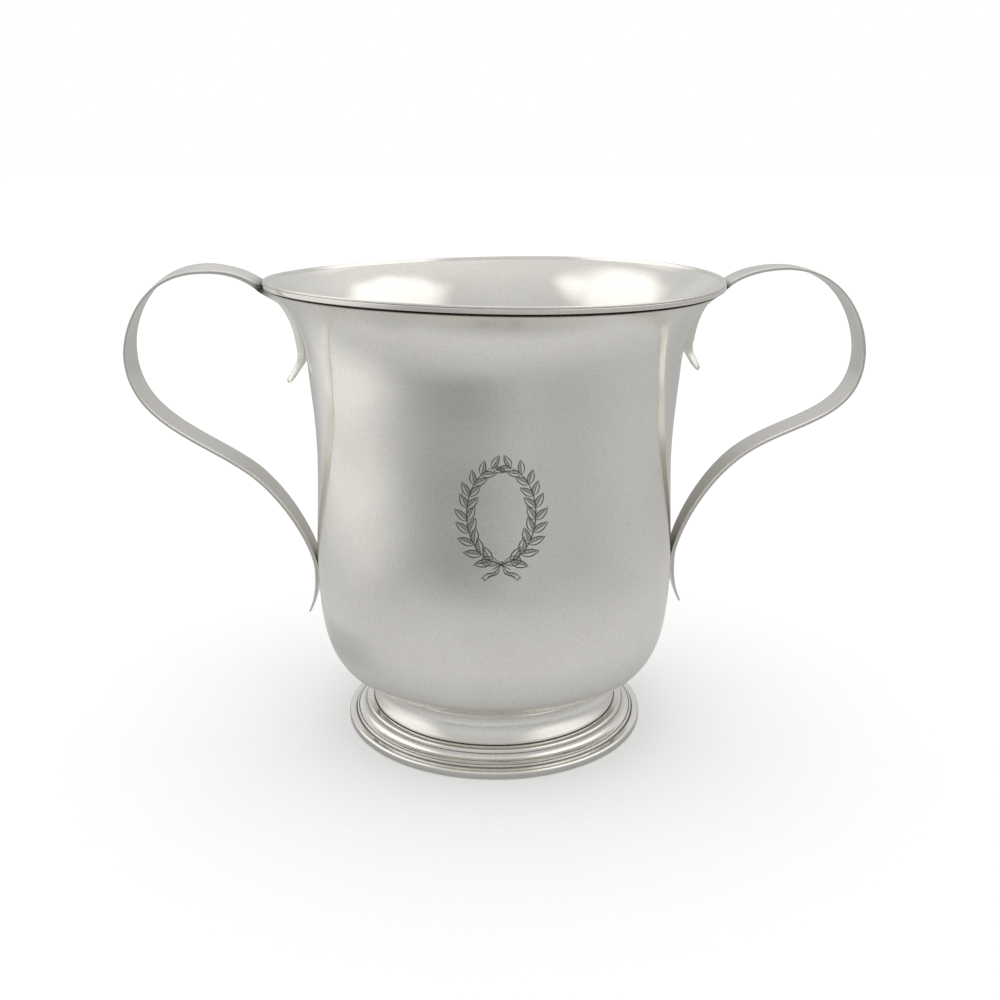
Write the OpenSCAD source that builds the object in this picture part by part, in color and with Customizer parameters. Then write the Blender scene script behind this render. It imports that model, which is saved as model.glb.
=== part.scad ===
// Two-handled silver cup: a raised bell-shaped bowl on a stepped foot, with strap handles.
// It stands on the plane z = 0, its axis is the Z axis, and the handles lie along X.
// All sizes are in millimetres. The foot and the bowl stack up from the table to the rim.

/* [Bowl] */
// Thickness of the raised wall
wall = 0.9; // [0.6:0.05:1.4]
// Radius of the flat floor, measured outside
floor_r = 34; // [30:0.5:38]
// Slope with which the knuckle leaves the floor, in degrees
knuckle_slope = 4; // [0:1:12]
// Radius at the belly, the widest place low on the bowl
belly_r = 47.3; // [44:0.1:51]
// Height of the belly above the floor
belly_up = 29.8; // [26:0.1:36]
// Radius at the waist
waist_r = 46.25; // [43:0.05:50]
// Height of the waist above the belly
waist_up = 29.5; // [24:0.5:36]
// Radius at the neck, where the flare begins
neck_r = 48.05; // [45:0.05:51]
// Height of the neck above the waist
neck_up = 25.5; // [21:0.5:31]
// Radius of the flare's edge
lip_r = 57; // [54:0.1:61]
// Height of the flare above the neck
flare_up = 16.9; // [14:0.1:20]
// Slope of the flare at its edge, in degrees
flare_slope = 38; // [28:1:48]

/* [Rim wire] */
// Height of the wire round the lip
rim_h = 2.1; // [1.7:0.1:3]
// How far the wire stands out from the flare's edge
rim_out = 1; // [0.8:0.1:1.6]
// Rounding of the wire's edges
rim_round = 0.45; // [0.2:0.05:0.45]
// Height of the recess between the flare and the wire's face
recess_h = 0.4; // [0.2:0.05:0.6]
// How far the recess goes in behind the wire's rounded edge
recess_in = 0.2; // [0.1:0.05:0.25]

/* [Foot] */
// Height of the wire that the cup stands on
base_h = 2.1; // [1.6:0.1:3]
// How far the base wire reaches beyond the flange
base_out = 2.1; // [1.6:0.1:3]
// How far the base wire reaches in under the flange
base_in = 2; // [1.6:0.1:3]
// Rounding of the base wire's upper edge
base_round = 1.2; // [0.6:0.1:1.5]
// Height of the stepped flange
flange_h = 3.6; // [3:0.1:4.5]
// How far the flange reaches beyond the collar
flange_out = 5; // [4:0.1:6]
// How far the flange reaches in under the collar
flange_in = 1; // [0.5:0.1:2]
// How far the flange's flat shelf reaches beyond the collar
shelf_out = 2.1; // [1.5:0.1:2.6]
// Height of the step below the shelf
step_h = 1; // [0.6:0.1:1.4]
// Height of the upright edge of the flange
flange_edge = 0.6; // [0.3:0.1:1]
// Height of the collar between flange and bowl
collar_h = 10.5; // [8:0.1:14]
// How much wider the collar is at its foot than at its top
collar_spread = 0.3; // [0:0.1:2]
// Pull of the hollow in the collar's side
collar_cove = 1.9; // [0.8:0.1:2.6]
// Height of the upright edge at the collar's foot
collar_edge = 0.7; // [0.3:0.1:1.5]
// Thickness of the foot's sheet
foot_wall = 1.1; // [0.8:0.1:1.6]
// Width and depth of the grooves between the foot's rings
quirk = 0.3; // [0.2:0.05:0.4]
// Thickness of the round wire under the bowl
bead_d = 1.8; // [1.2:0.1:2.4]

/* [Handles] */
// Width of the strap from its upper tail to its lower scroll
strap_w = 10.2; // [8:0.1:14]
// Width of the strap at its lower tail
strap_w_low = 6; // [4:0.5:9]
// Thickness of the strap from the rim to its lower joint
strap_t = 1; // [0.8:0.05:1.4]
// Thickness of the strap at its upper joint, on the neck
root_t = 2.2; // [1.5:0.1:2.8]
// Thickness of the strap at the tip of its upper tail
tip_t = 1.1; // [0.8:0.1:1.6]
// Thickness of the strap at the tip of its lower tail
low_tip_t = 0.6; // [0.5:0.05:1]
// Rounding of the strap's edges
strap_round = 0.3; // [0.1:0.05:0.35]
// How far the crown stands out beyond the rim wire
crown_out = 14.8; // [10:0.1:20]
// Height of the crown above the rim
crown_up = 2.2; // [1:0.1:6]
// Slope of the strap where it passes under the rim wire, in degrees
rim_pass_slope = 42; // [34:1:50]
// How far the loop reaches beyond the rim wire
loop_out = 36; // [28:0.5:44]
// Depth of the loop's farthest point below the rim
loop_down = 19.7; // [15:0.1:24]
// How far the middle of the lower scroll stands out from the belly
scroll_out = 18; // [13:0.5:24]
// Height of the middle of the left handle's lower scroll above its lower joint
left_scroll_up = 28.4; // [23:0.1:34]
// Height of the middle of the right handle's lower scroll above its lower joint
right_scroll_up = 29.7; // [23:0.1:34]
// Slope of the strap in the middle of the lower scroll, in degrees
scroll_slope = 35.4; // [28:0.2:45]
// Depth of the lower joint below the belly
joint_down = 4; // [0:0.5:8]
// How far the upper tail flicks out from the neck
tail_out = 4.4; // [2:0.1:7]
// Depth of the upper tail's tip below the neck
tail_down = 7.5; // [5:0.1:10]
// How far the lower tail flicks out from the belly
low_tail_out = 3.2; // [1.5:0.1:5]
// Depth of the lower tail's tip below the lower joint
low_tail_down = 12.3; // [8:0.1:16]
// How much higher the right handle's ends are soldered than the left handle's
right_lift = 3.3; // [0:0.1:5]
// Lean of the left strap's crown to the front, in degrees
left_lean = 6; // [0:0.5:8]
// Lean of the right strap's crown to the back, in degrees
right_lean = 1; // [0:0.5:5]

/* [Fits] */
// Gap for solder between a strap or bead and the bowl
solder_gap = 0.05; // [0:0.01:0.2]
// Gap between a strap and the rim wire above it
rim_gap = 0.3; // [0.1:0.05:0.6]

/* [Hidden] */
$fn = 96;

silver = [0.80, 0.79, 0.77];
silver_shade = [0.72, 0.71, 0.69];

// Heights of the joints, from the table up
shelf_z = base_h + flange_h;
floor_z = shelf_z + collar_h;
belly_z = floor_z + belly_up;
waist_z = belly_z + waist_up;
neck_z = waist_z + neck_up;
lip_z = neck_z + flare_up;
rim_z = lip_z + rim_h;

// Radii of the rings, from the bowl's floor outwards
rim_r = lip_r + rim_out;
collar_top_r = floor_r - bead_d / 2 - solder_gap;
collar_r = collar_top_r + collar_spread;
shelf_r = collar_r + shelf_out;
flange_r = collar_r + flange_out;
base_r = flange_r + base_out;

// Share of each curve's height or width that its end tangents take up
floor_pull = 0.62;
belly_pull_low = 0.88;
belly_pull_high = 0.24;
waist_pull_low = 0.34;
waist_pull_high = 0.41;
neck_pull_low = 0.14;
neck_pull_high = 0.56;
lip_pull = 0.36;
hollow_pull = 0.6;
tail_pull = 0.5;
low_tip_pull = 0.25;
pass_pull = 0.33;
loop_pull_over = 0.8;
loop_pull_down = 0.3;
bend_pull = 0.46;
scroll_pull_high = 0.42;
scroll_pull_low = 0.41;
joint_pull = 0.23;

// Share of the flare that the straps lie along, and the directions of their tips, in degrees
hug_share = 0.72;
tail_turn = 118;
low_tail_turn = -62;
// Share of the strap's stations after which it narrows to the lower tail
taper_from = 0.75;
// Largest rounding of the strap's edges, as a share of its thickness
round_share = 0.4;
// Share of the full section left at the last two stations of each tip
tip_share = [0.45, 0.85];
// How far round the rim wire's upper edge turns in over the lip, in degrees
rim_turn = 150;

// Number of steps along each curve
long_steps = 16;
short_steps = 8;
lead_steps = 4;

// Vector helpers in the plane of a profile: radius or reach first, height second
function dir(a) = [cos(a), sin(a)];
function unit(v) = v / norm(v);
function left_of(v) = [-v[1], v[0]];
function outward(v) = [v[1], -v[0]];

// Cubic curve through p[0] and p[3]; each sample is a point and its unit tangent
function curve_at(p, t) = let (s = 1 - t)
    s * s * s * p[0] + 3 * s * s * t * p[1] + 3 * s * t * t * p[2] + t * t * t * p[3];
function curve_dir(p, t) = let (s = 1 - t)
    unit(s * s * (p[1] - p[0]) + 2 * s * t * (p[2] - p[1]) + t * t * (p[3] - p[2]));
function curve(p, steps, from = 0) =
    [for (i = [from:steps]) [curve_at(p, i / steps), curve_dir(p, i / steps)]];
// Curve from a to b that leaves a along da and reaches b along db, with the given pulls
function span(a, da, pull_a, b, db, pull_b) = [a, a + pull_a * da, b - pull_b * db, b];
function points(samples) = [for (s = samples) s[0]];
function offset_points(samples, gap) = [for (s = samples) s[0] + gap * outward(s[1])];
function mix(pair, f) = pair[0] + (pair[1] - pair[0]) * f;
function reversed(list) = [for (i = [len(list) - 1:-1:0]) list[i]];
function arc(centre, r, a0, a1, steps) =
    [for (i = [0:steps]) centre + r * dir(a0 + (a1 - a0) * i / steps)];

// Outside of the bowl, from the edge of its floor to the edge of the flare
up = [0, 1];
over = [1, 0];
knuckle = span([floor_r, floor_z], dir(knuckle_slope), floor_pull * (belly_r - floor_r),
               [belly_r, belly_z], up, belly_pull_low * belly_up);
side = span([belly_r, belly_z], up, belly_pull_high * waist_up,
            [waist_r, waist_z], up, waist_pull_low * waist_up);
shoulder = span([waist_r, waist_z], up, waist_pull_high * neck_up,
                [neck_r, neck_z], up, neck_pull_low * neck_up);
flare = span([neck_r, neck_z], up, neck_pull_high * flare_up,
             [lip_r, lip_z], dir(flare_slope), lip_pull * flare_up);
bowl_samples = concat(curve(knuckle, long_steps), curve(side, short_steps, 1),
                      curve(shoulder, short_steps, 1), curve(flare, long_steps, 1));

// Top of the bowl's edge, where its inner face is carried on to the radius of the lip
edge_top_z = lip_z + wall / cos(flare_slope);

module turned(profile) {
    rotate_extrude() polygon(profile);
}

module bowl() {
    inner = offset_points(bowl_samples, -wall);
    color(silver) turned(concat([[0, floor_z]], points(bowl_samples), [[lip_r, edge_top_z]],
                                reversed(inner), [[0, floor_z + wall]]));
}

module rim_wire() {
    face_z = lip_z + recess_h;
    low = [rim_r - rim_round, face_z + rim_round];
    high = [rim_r - rim_round, rim_z - rim_round];
    recess_r = low[0] - recess_in;
    color(silver) turned(concat([[lip_r, lip_z], [recess_r, lip_z], [recess_r, face_z]],
                                arc(low, rim_round, -90, 0, short_steps),
                                arc(high, rim_round, 0, rim_turn, short_steps), [[lip_r, edge_top_z]]));
}

module bead_wire() {
    bead_r = bead_d / 2;
    color(silver) rotate_extrude()
        translate([collar_top_r + bead_r + solder_gap, floor_z - bead_r - solder_gap]) circle(r = bead_r);
}

module foot_collar() {
    cove_top = [collar_top_r, floor_z - bead_d];
    cove_foot = [collar_r, shelf_z + collar_edge];
    cove = [cove_top, cove_top - [collar_cove, bead_d], cove_foot + [-collar_cove, bead_d], cove_foot];
    outside = concat([[collar_top_r, floor_z]], points(curve(cove, long_steps)), [[collar_r, shelf_z]]);
    color(silver) turned(concat(outside, [for (p = reversed(outside)) p - [foot_wall, 0]]));
}

module foot_flange() {
    shelf_in = collar_r - foot_wall - flange_in;
    step_foot = [shelf_r, shelf_z - step_h];
    edge_top = [flange_r, base_h + flange_edge];
    hollow = curve(span(step_foot, -up, hollow_pull * (step_foot[1] - edge_top[1]),
                        edge_top, over, hollow_pull * (flange_r - shelf_r)), long_steps);
    under = [for (p = offset_points(hollow, foot_wall)) if (p[1] > base_h + quirk) p];
    color(silver_shade) turned(concat(
        [[shelf_in, shelf_z], [collar_r, shelf_z], [collar_r, shelf_z - quirk],
         [collar_r + quirk, shelf_z - quirk], [collar_r + quirk, shelf_z],
         [shelf_r - quirk, shelf_z], [shelf_r, shelf_z - quirk]],
        points(hollow), [[flange_r, base_h], [under[len(under) - 1][0], base_h]],
        reversed(under), [[shelf_in, shelf_z - foot_wall]]));
}

module base_wire() {
    shoulder_c = [base_r - base_round, base_h - base_round];
    color(silver) turned(concat(
        [[flange_r - base_in, 0], [base_r - quirk, 0], [base_r, quirk]],
        arc(shoulder_c, base_round, 0, 90, short_steps),
        [[flange_r + quirk, base_h], [flange_r + quirk, base_h - quirk],
         [flange_r, base_h - quirk], [flange_r, base_h], [flange_r - base_in, base_h]]));
}

// Cross-section of a strap with soft edges: place across the strap, then place through its thickness
function strap_section(w, t) = let (
    r = min(strap_round, round_share * t),
    h = w / 2 - r,
    v = t / 2 - r,
    half = concat([for (f = [-1:0.5:1]) [f * h, t / 2]],
                  [for (a = [45, 0]) [h, v] + r * dir(a)], [for (a = [0, -45]) [h, -v] + r * dir(a)]))
    concat(half, -half);

// One leg of a strap: its samples, and for each end its seat on the bowl, its lean and its thickness
function leg(samples, seat, lean, thick) =
    let (last = len(samples) - 1)
    [for (i = [0:last]) let (f = i / last)
        concat(samples[i], [mix(seat, pow(f, 4)), mix(lean, f * f), mix(thick, f)])];

// A strap's stations, from the upper tail over the crown to the lower tail, on the side of +X
function strap_stations(lift, scroll_up, lean) = let (
    hug_from = lift / (3 * neck_pull_high * flare_up),
    hug_t = [for (i = [0:short_steps]) mix([root_t, strap_t], i / short_steps)],
    hug = [for (i = [0:short_steps]) let (
        u = mix([hug_from, hug_share], i / short_steps),
        slope = curve_dir(flare, u))
        [curve_at(flare, u) + (solder_gap + hug_t[i] / 2) * outward(slope), slope]],
    hug_a = hug[0],
    hug_b = hug[short_steps],
    tip = [neck_r + tail_out, neck_z - tail_down + lift],
    pass_dir = dir(rim_pass_slope),
    pass = [rim_r, lip_z + rim_round / 2] + (rim_gap + strap_t / 2) * outward(pass_dir),
    crown = [rim_r + crown_out, rim_z + crown_up],
    bend = [rim_r + loop_out, rim_z - loop_down],
    joint = [belly_r + solder_gap + strap_t / 2, belly_z - joint_down + lift],
    scroll = [belly_r + scroll_out, joint[1] + scroll_up],
    scroll_dir = dir(180 + scroll_slope),
    low_tip = [belly_r + low_tail_out, joint[1] - low_tail_down],
    tail = span(tip, dir(tail_turn), tail_pull * tail_down, hug_a[0], hug_a[1], tail_pull * tail_down),
    lead_len = pass_pull * norm(pass - hug_b[0]),
    lead = span(hug_b[0], hug_b[1], lead_len, pass, pass_dir, lead_len),
    rise = span(pass, pass_dir, pass_pull * crown_out, crown, over, pass_pull * crown_out),
    loop = span(crown, over, loop_pull_over * (bend[0] - crown[0]), bend, -up, loop_pull_down * loop_down),
    turn = span(bend, -up, bend_pull * loop_out, scroll, scroll_dir, scroll_pull_high * loop_out),
    fall = span(scroll, scroll_dir, scroll_pull_low * scroll_up, joint, -up, joint_pull * scroll_up),
    low_tail = span(joint, -up, tail_pull * low_tail_down,
                    low_tip, dir(low_tail_turn), low_tip_pull * low_tail_down),
    off_bowl = [0, 0],
    upright = [0, 0],
    even = [strap_t, strap_t])
    concat(
        leg(curve(tail, short_steps), [0, 1], upright, [tip_t, root_t]),
        leg([for (i = [1:short_steps]) hug[i]], [1, 1], upright, [hug_t[1], strap_t]),
        leg(curve(lead, lead_steps, 1), [1, 0], upright, even),
        leg(curve(rise, short_steps, 1), off_bowl, [0, lean], even),
        leg(curve(loop, long_steps, 1), off_bowl, [lean, 0], even),
        leg(curve(turn, long_steps, 1), off_bowl, upright, even),
        leg(curve(fall, long_steps, 1), [0, -1], upright, even),
        leg(curve(low_tail, short_steps, 1), [-1, 0], upright, [strap_t, low_tip_t]));

// Ring of points round one station; the face on the bowl is hollowed to the bowl's curve there
function strap_ring(station, w, t) = let (
    p = station[0],
    n = left_of(station[1]),
    seat = station[2],
    lean = station[3])
    [for (q = strap_section(w, t)) let (
        sag = seat * q[0] * q[0] * abs(n[0]) / (2 * p[0]),
        depth = q[1] + sag * (0.5 + sign(seat) * q[1] / t),
        y = q[0] * cos(lean) - depth * sin(lean),
        z = q[0] * sin(lean) + depth * cos(lean))
        [p[0] + z * n[0], y, p[1] + z * n[1]]];

// Middle of a ring, between two opposite corners
function ring_centre(ring) = (ring[0] + ring[len(ring) / 2]) / 2;

// Strip swept along its stations, narrowing to the lower tail, with rounded tips
module strap(lift, scroll_up, lean) {
    stations = strap_stations(lift, scroll_up, lean);
    last = len(stations) - 1;
    rings = [for (i = [0:last]) let (
        late = max(0, (i / last - taper_from) / (1 - taper_from)),
        end = min(i, last - i),
        k = end < len(tip_share) ? tip_share[end] : 1,
        w = mix([strap_w, strap_w_low], late) - (1 - k) * strap_t)
        strap_ring(stations[i], w, k * stations[i][4])];
    m = len(rings[0]);
    sides = [for (i = [0:last - 1]) for (j = [0:m - 1]) let (
        a = i * m + j,
        b = i * m + (j + 1) % m)
        each [[a, b, b + m], [a, b + m, a + m]]];
    hub = len(rings) * m;
    first_cap = [for (j = [0:m - 1]) [hub, (j + 1) % m, j]];
    last_cap = [for (j = [0:m - 1]) [hub + 1, last * m + j, last * m + (j + 1) % m]];
    polyhedron(points = concat([for (r = rings) each r], [ring_centre(rings[0]), ring_centre(rings[last])]),
               faces = concat(sides, first_cap, last_cap));
}

module left_handle() {
    color(silver) mirror([1, 0, 0]) strap(0, left_scroll_up, left_lean);
}

module right_handle() {
    color(silver) strap(right_lift, right_scroll_up, -right_lean);
}

bowl();
rim_wire();
bead_wire();
foot_collar();
foot_flange();
base_wire();
left_handle();
right_handle();
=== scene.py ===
"""Two-handled silver cup: the dressed model, its plain studio and the camera."""
import logging
import math
from dataclasses import dataclass, field
from enum import Enum
from functools import partialmethod
from typing import Any

import bpy
import numpy as np
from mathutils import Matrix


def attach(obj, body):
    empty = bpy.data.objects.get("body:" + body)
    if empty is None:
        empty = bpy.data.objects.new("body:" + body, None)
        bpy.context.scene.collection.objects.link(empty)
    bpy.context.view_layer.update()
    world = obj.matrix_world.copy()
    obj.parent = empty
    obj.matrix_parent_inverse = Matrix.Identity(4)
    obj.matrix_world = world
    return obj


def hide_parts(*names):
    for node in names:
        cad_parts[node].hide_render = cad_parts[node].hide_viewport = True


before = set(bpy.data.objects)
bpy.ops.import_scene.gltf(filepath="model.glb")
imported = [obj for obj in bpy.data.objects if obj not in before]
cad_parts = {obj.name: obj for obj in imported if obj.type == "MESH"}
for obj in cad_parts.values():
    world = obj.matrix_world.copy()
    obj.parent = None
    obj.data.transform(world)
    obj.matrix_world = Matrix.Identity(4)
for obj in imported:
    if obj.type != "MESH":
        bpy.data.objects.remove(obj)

LOG = logging.getLogger("cup")
MM = 0.001
RADIAN = 180.0 / math.pi
BODY = "root"
SEED = 7
TINY = 1e-4
SHARP_DEGREES = 40.0
HANDS = (1.0, -1.0)
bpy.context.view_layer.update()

Array = np.ndarray
Pair = tuple[float, float]
Faces = list[tuple[int, ...]]
Material = bpy.types.Material
Mesh = bpy.types.Mesh
Node = bpy.types.Node
Object = bpy.types.Object
Socket = bpy.types.NodeSocket
Tree = bpy.types.NodeTree


class Slot(Enum):
    """The record's material slots."""

    BOWL = "bowl_silver"
    WIRE = "wire_silver"
    FOOT = "foot_silver"
    STRAP = "strap_silver"


class Side(Enum):
    """The two handles, by the sign of their X."""

    LEFT = -1
    RIGHT = 1


class Kind(Enum):
    """Kinds of input and output that a node group has."""

    COLOR = "NodeSocketColor"
    FLOAT = "NodeSocketFloat"
    GEOMETRY = "NodeSocketGeometry"
    INT = "NodeSocketInt"
    MATERIAL = "NodeSocketMaterial"
    OBJECT = "NodeSocketObject"
    VECTOR = "NodeSocketVector"


# Curves in the plane of a profile: radius or reach first, height second


def heading(degrees: float) -> Array:
    """Unit vector at an angle above the first axis."""
    return np.array([math.cos(math.radians(degrees)), math.sin(math.radians(degrees))])


def right_of(vectors: Array) -> Array:
    """Vectors turned a quarter to the right."""
    return np.stack([vectors[..., 1], -vectors[..., 0]], axis=-1)


def share_of(values: Array, start: float, end: float) -> Array:
    """Share of the way from a start to an end, held between 0 and 1."""
    return np.clip((values - start) / (end - start), 0.0, 1.0)


UP = heading(90.0)
OVER = heading(0.0)


@dataclass(frozen=True)
class Span:
    """Cubic curve that leaves one point along a direction and reaches another along a second one."""

    start: Array
    start_pull: Array
    end: Array
    end_pull: Array

    def sample(self, steps: int, first: int = 0, until: float = 1.0,
               since: float = 0.0) -> tuple[Array, Array]:
        """Points along the curve.

        Args:
            steps: Number of steps from one end to the other.
            first: Number of the first step to give, 1 to leave out the start.
            until: Share of the curve at the last step.
            since: Share of the curve at step 0.

        Returns:
            The points and their unit tangents, a row each.
        """
        t = (since + (until - since) * np.arange(first, steps + 1) / steps)[:, None]
        s = 1.0 - t
        a, d = self.start, self.end
        b, c = a + self.start_pull, d - self.end_pull
        points = s**3 * a + 3 * s * s * t * b + 3 * s * t * t * c + t**3 * d
        slopes = s * s * (b - a) + 2 * s * t * (c - b) + t * t * (d - c)
        return points, slopes / np.linalg.norm(slopes, axis=1, keepdims=True)


def spaced(points: Array, step: float) -> Array:
    """Adds points on the straight stretches of a closed outline.

    Args:
        points: The outline's points, a row each.
        step: Longest distance to leave between two points.

    Returns:
        The points with the new ones between them.
    """
    out: list[Array] = []
    for a, b in zip(points, np.roll(points, -1, axis=0)):
        parts = max(1, math.ceil(float(np.linalg.norm(b - a)) / step))
        out.extend(a + (b - a) * k / parts for k in range(parts))
    return np.array(out)


def rounded(corners: list[tuple[float, float, float]], step: float, arc_points: int = 6) -> Array:
    """Closed outline with rounded corners.

    Args:
        corners: Radius, height and rounding of each corner.
        step: Longest distance between points of the outline.
        arc_points: Number of points round a corner.

    Returns:
        The outline's points, a row each, without the first one again at the end.
    """
    most = 0.45
    spots = np.array([c[:2] for c in corners])
    out: list[Array] = []
    for i, (_, _, rounding) in enumerate(corners):
        here = spots[i]
        back, ahead = spots[i - 1] - here, spots[(i + 1) % len(corners)] - here
        back_far, ahead_far = np.linalg.norm(back), np.linalg.norm(ahead)
        reach = min(rounding, most * min(back_far, ahead_far))
        if reach < TINY:
            out.append(here)
            continue
        a, b = here + reach * back / back_far, here + reach * ahead / ahead_far
        for t in np.linspace(0.0, 1.0, arc_points):
            out.append((1 - t) ** 2 * a + 2 * t * (1 - t) * here + t * t * b)
    return spaced(np.array(out), step)


# Forms and their meshes


@dataclass(frozen=True)
class Form:
    """Main sizes of the cup in millimetres, as in the solids but for a neck that leans into the flare.

    The pulls of a stretch say how straight it leaves and reaches its ends, as shares of its height, or of
    its reach where it leaves the floor.
    """

    wall: float = 0.9
    floor_r: float = 34.0
    floor_z: float = 16.2
    knuckle_slope: float = 4.0
    knuckle_pulls: Pair = (0.62, 0.88)
    belly: Pair = (47.3, 46.0)
    side_pulls: Pair = (0.24, 0.34)
    waist: Pair = (46.25, 75.5)
    shoulder_pulls: Pair = (0.41, 0.30)
    neck: Pair = (47.75, 99.0)
    neck_slope: float = 86.0
    flare_pulls: Pair = (0.54, 0.36)
    lip: Pair = (57.0, 117.9)
    lip_slope: float = 38.0
    rim_r: float = 58.0
    rim_z: float = 120.0
    long_steps: int = 36
    short_steps: int = 20

    @property
    def flare_rise(self) -> float:
        """Height of the flare."""
        return self.lip[1] - self.neck[1]

    def flare(self) -> Span:
        """Outside of the flare, from the neck to the lip."""
        leave, reach = (pull * self.flare_rise for pull in self.flare_pulls)
        return Span(np.array(self.neck), leave * heading(self.neck_slope),
                    np.array(self.lip), reach * heading(self.lip_slope))

    def outside(self) -> tuple[Array, Array]:
        """Outside of the bowl from the edge of its floor to the lip.

        Returns:
            The points and their unit tangents, a row each.
        """
        floor, belly = np.array([self.floor_r, self.floor_z]), np.array(self.belly)
        waist, neck = np.array(self.waist), np.array(self.neck)
        low, mid, high = belly[1] - floor[1], waist[1] - belly[1], neck[1] - waist[1]
        out = (belly[0] - floor[0]) * heading(self.knuckle_slope)
        lean = high * heading(self.neck_slope)
        knuckle = Span(floor, self.knuckle_pulls[0] * out, belly, self.knuckle_pulls[1] * low * UP)
        side = Span(belly, self.side_pulls[0] * mid * UP, waist, self.side_pulls[1] * mid * UP)
        shoulder = Span(waist, self.shoulder_pulls[0] * high * UP, neck, self.shoulder_pulls[1] * lean)
        parts = [knuckle.sample(self.long_steps), side.sample(self.short_steps, 1),
                 shoulder.sample(self.short_steps, 1), self.flare().sample(self.long_steps, 1)]
        return np.concatenate([p[0] for p in parts]), np.concatenate([p[1] for p in parts])


@dataclass(frozen=True)
class Unevenness:
    """Slow waves that raising and planishing leave in a piece of sheet, and a bend of the rim.

    A depth is that of a wave with one lobe round the cup, in millimetres. More lobes make it shallower. A
    twist is the most that a wave turns in a millimetre of height.
    """

    slow_depth: float = 0.10
    slow_lobes: tuple[int, ...] = (2, 3, 3, 4, 5)
    slow_twist: float = 0.06
    ripple_depth: float = 0.08
    ripple_lobes: tuple[int, int] = (6, 16)
    ripple_twist: float = 0.28
    dent_depth: float = 0.08
    dent_lobes: tuple[int, int] = (14, 30)
    dent_twist: float = 0.6
    fine_waves: int = 14
    warp: float = 0.55
    warp_power: float = 1.5
    seed: int = SEED

    def waves(self, angle: Array, height: Array, gain: Array, fine: Array) -> Array:
        """How far the sheet stands out, in millimetres.

        Args:
            angle: Angles about the axis, a row for each height.
            height: Heights in millimetres, of the same shape.
            gain: Strength of the slow waves and ripples in each row.
            fine: Strength of the dents in each row.

        Returns:
            The offsets, of the same shape.
        """
        rng = np.random.default_rng(self.seed)
        out = np.zeros_like(angle)

        def wave(strength: Array, lobes: int, depth: float, twist: float) -> Array:
            """One wave, with a random turn and twist."""
            turn, lift = rng.uniform(0, 2 * math.pi), rng.uniform(-twist, twist)
            return strength[:, None] * depth / lobes * np.sin(lobes * angle + lift * height + turn)

        for lobes in self.slow_lobes:
            out += wave(gain, lobes, self.slow_depth, self.slow_twist)
        for _ in range(self.fine_waves):
            out += wave(gain, int(rng.integers(*self.ripple_lobes)), self.ripple_depth, self.ripple_twist)
        for _ in range(self.fine_waves):
            out += wave(fine, int(rng.integers(*self.dent_lobes)), self.dent_depth, self.dent_twist)
        return out

    def sway(self, angle: Array, height: Array, form: Form) -> Array:
        """How far the flare is bent up or down out of its plane, in millimetres."""
        share = share_of(height, form.neck[1], form.lip[1])
        return self.warp * share**self.warp_power * np.sin(2 * angle)


def finished(mesh: Mesh) -> Mesh:
    """Turns a closed mesh outward if it is inside out, and shades it smooth but for sharp edges.

    Args:
        mesh: The mesh, which is changed.

    Returns:
        The same mesh.
    """
    mesh.calc_loop_triangles()
    corners = np.empty(len(mesh.loop_triangles) * 3, dtype=np.int32)
    mesh.loop_triangles.foreach_get("vertices", corners)
    places = np.empty(len(mesh.vertices) * 3)
    mesh.vertices.foreach_get("co", places)
    tri = places.reshape(-1, 3)[corners.reshape(-1, 3)]
    if np.einsum("ij,ij->", tri[:, 0], np.cross(tri[:, 1], tri[:, 2])) < 0:
        mesh.flip_normals()
    mesh.shade_smooth()
    mesh.set_sharp_from_angle(angle=math.radians(SHARP_DEGREES))
    mesh.update()
    return mesh


def store(mesh: Mesh, name: str, values: Array) -> None:
    """Keeps a number or a vector for each point of a mesh.

    Args:
        mesh: The mesh.
        name: Name of the attribute.
        values: One number or one row of three numbers for each point.
    """
    kind, key = ("FLOAT", "value") if values.ndim == 1 else ("FLOAT_VECTOR", "vector")
    mesh.attributes.new(name, kind, "POINT").data.foreach_set(key, values.astype(np.float32).ravel())


def shown(name: str, mesh: Mesh) -> Object:
    """Object at the origin that shows a mesh."""
    obj = bpy.data.objects.new(name, mesh)
    bpy.context.scene.collection.objects.link(obj)
    return obj


def place(obj: Object, slot: Slot, *nodes: str) -> None:
    """Hides the solids that a piece replaces, if any, hangs the piece on the cup's body and logs its face
    count.

    Args:
        obj: The piece.
        slot: Not used.
        *nodes: The solids that it replaces.
    """
    if nodes:
        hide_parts(*nodes)
    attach(obj, BODY)
    LOG.info("%s: %d faces", obj.name, len(obj.data.polygons))


@dataclass(frozen=True)
class Groove:
    """Place in a profile where silver goes dull and darker, with its reach in millimetres: tarnish in a
    hollow, or in some places painted shade.
    """

    r: float
    z: float
    reach: float
    strength: float = 1.0


def patina(profile: Array, grooves: list[Groove]) -> Array:
    """How dull and dark each point of a profile is, from tarnish and, in some places, painted shade.

    Args:
        profile: The points, a row each.
        grooves: The dull places.

    Returns:
        A number for each point, 0 where it is bright.
    """
    out = np.zeros(len(profile))
    for g in grooves:
        gap = np.hypot(profile[:, 0] - g.r, profile[:, 1] - g.z)
        out = np.maximum(out, g.strength * np.exp(-((gap / g.reach) ** 2)))
    return out


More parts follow.
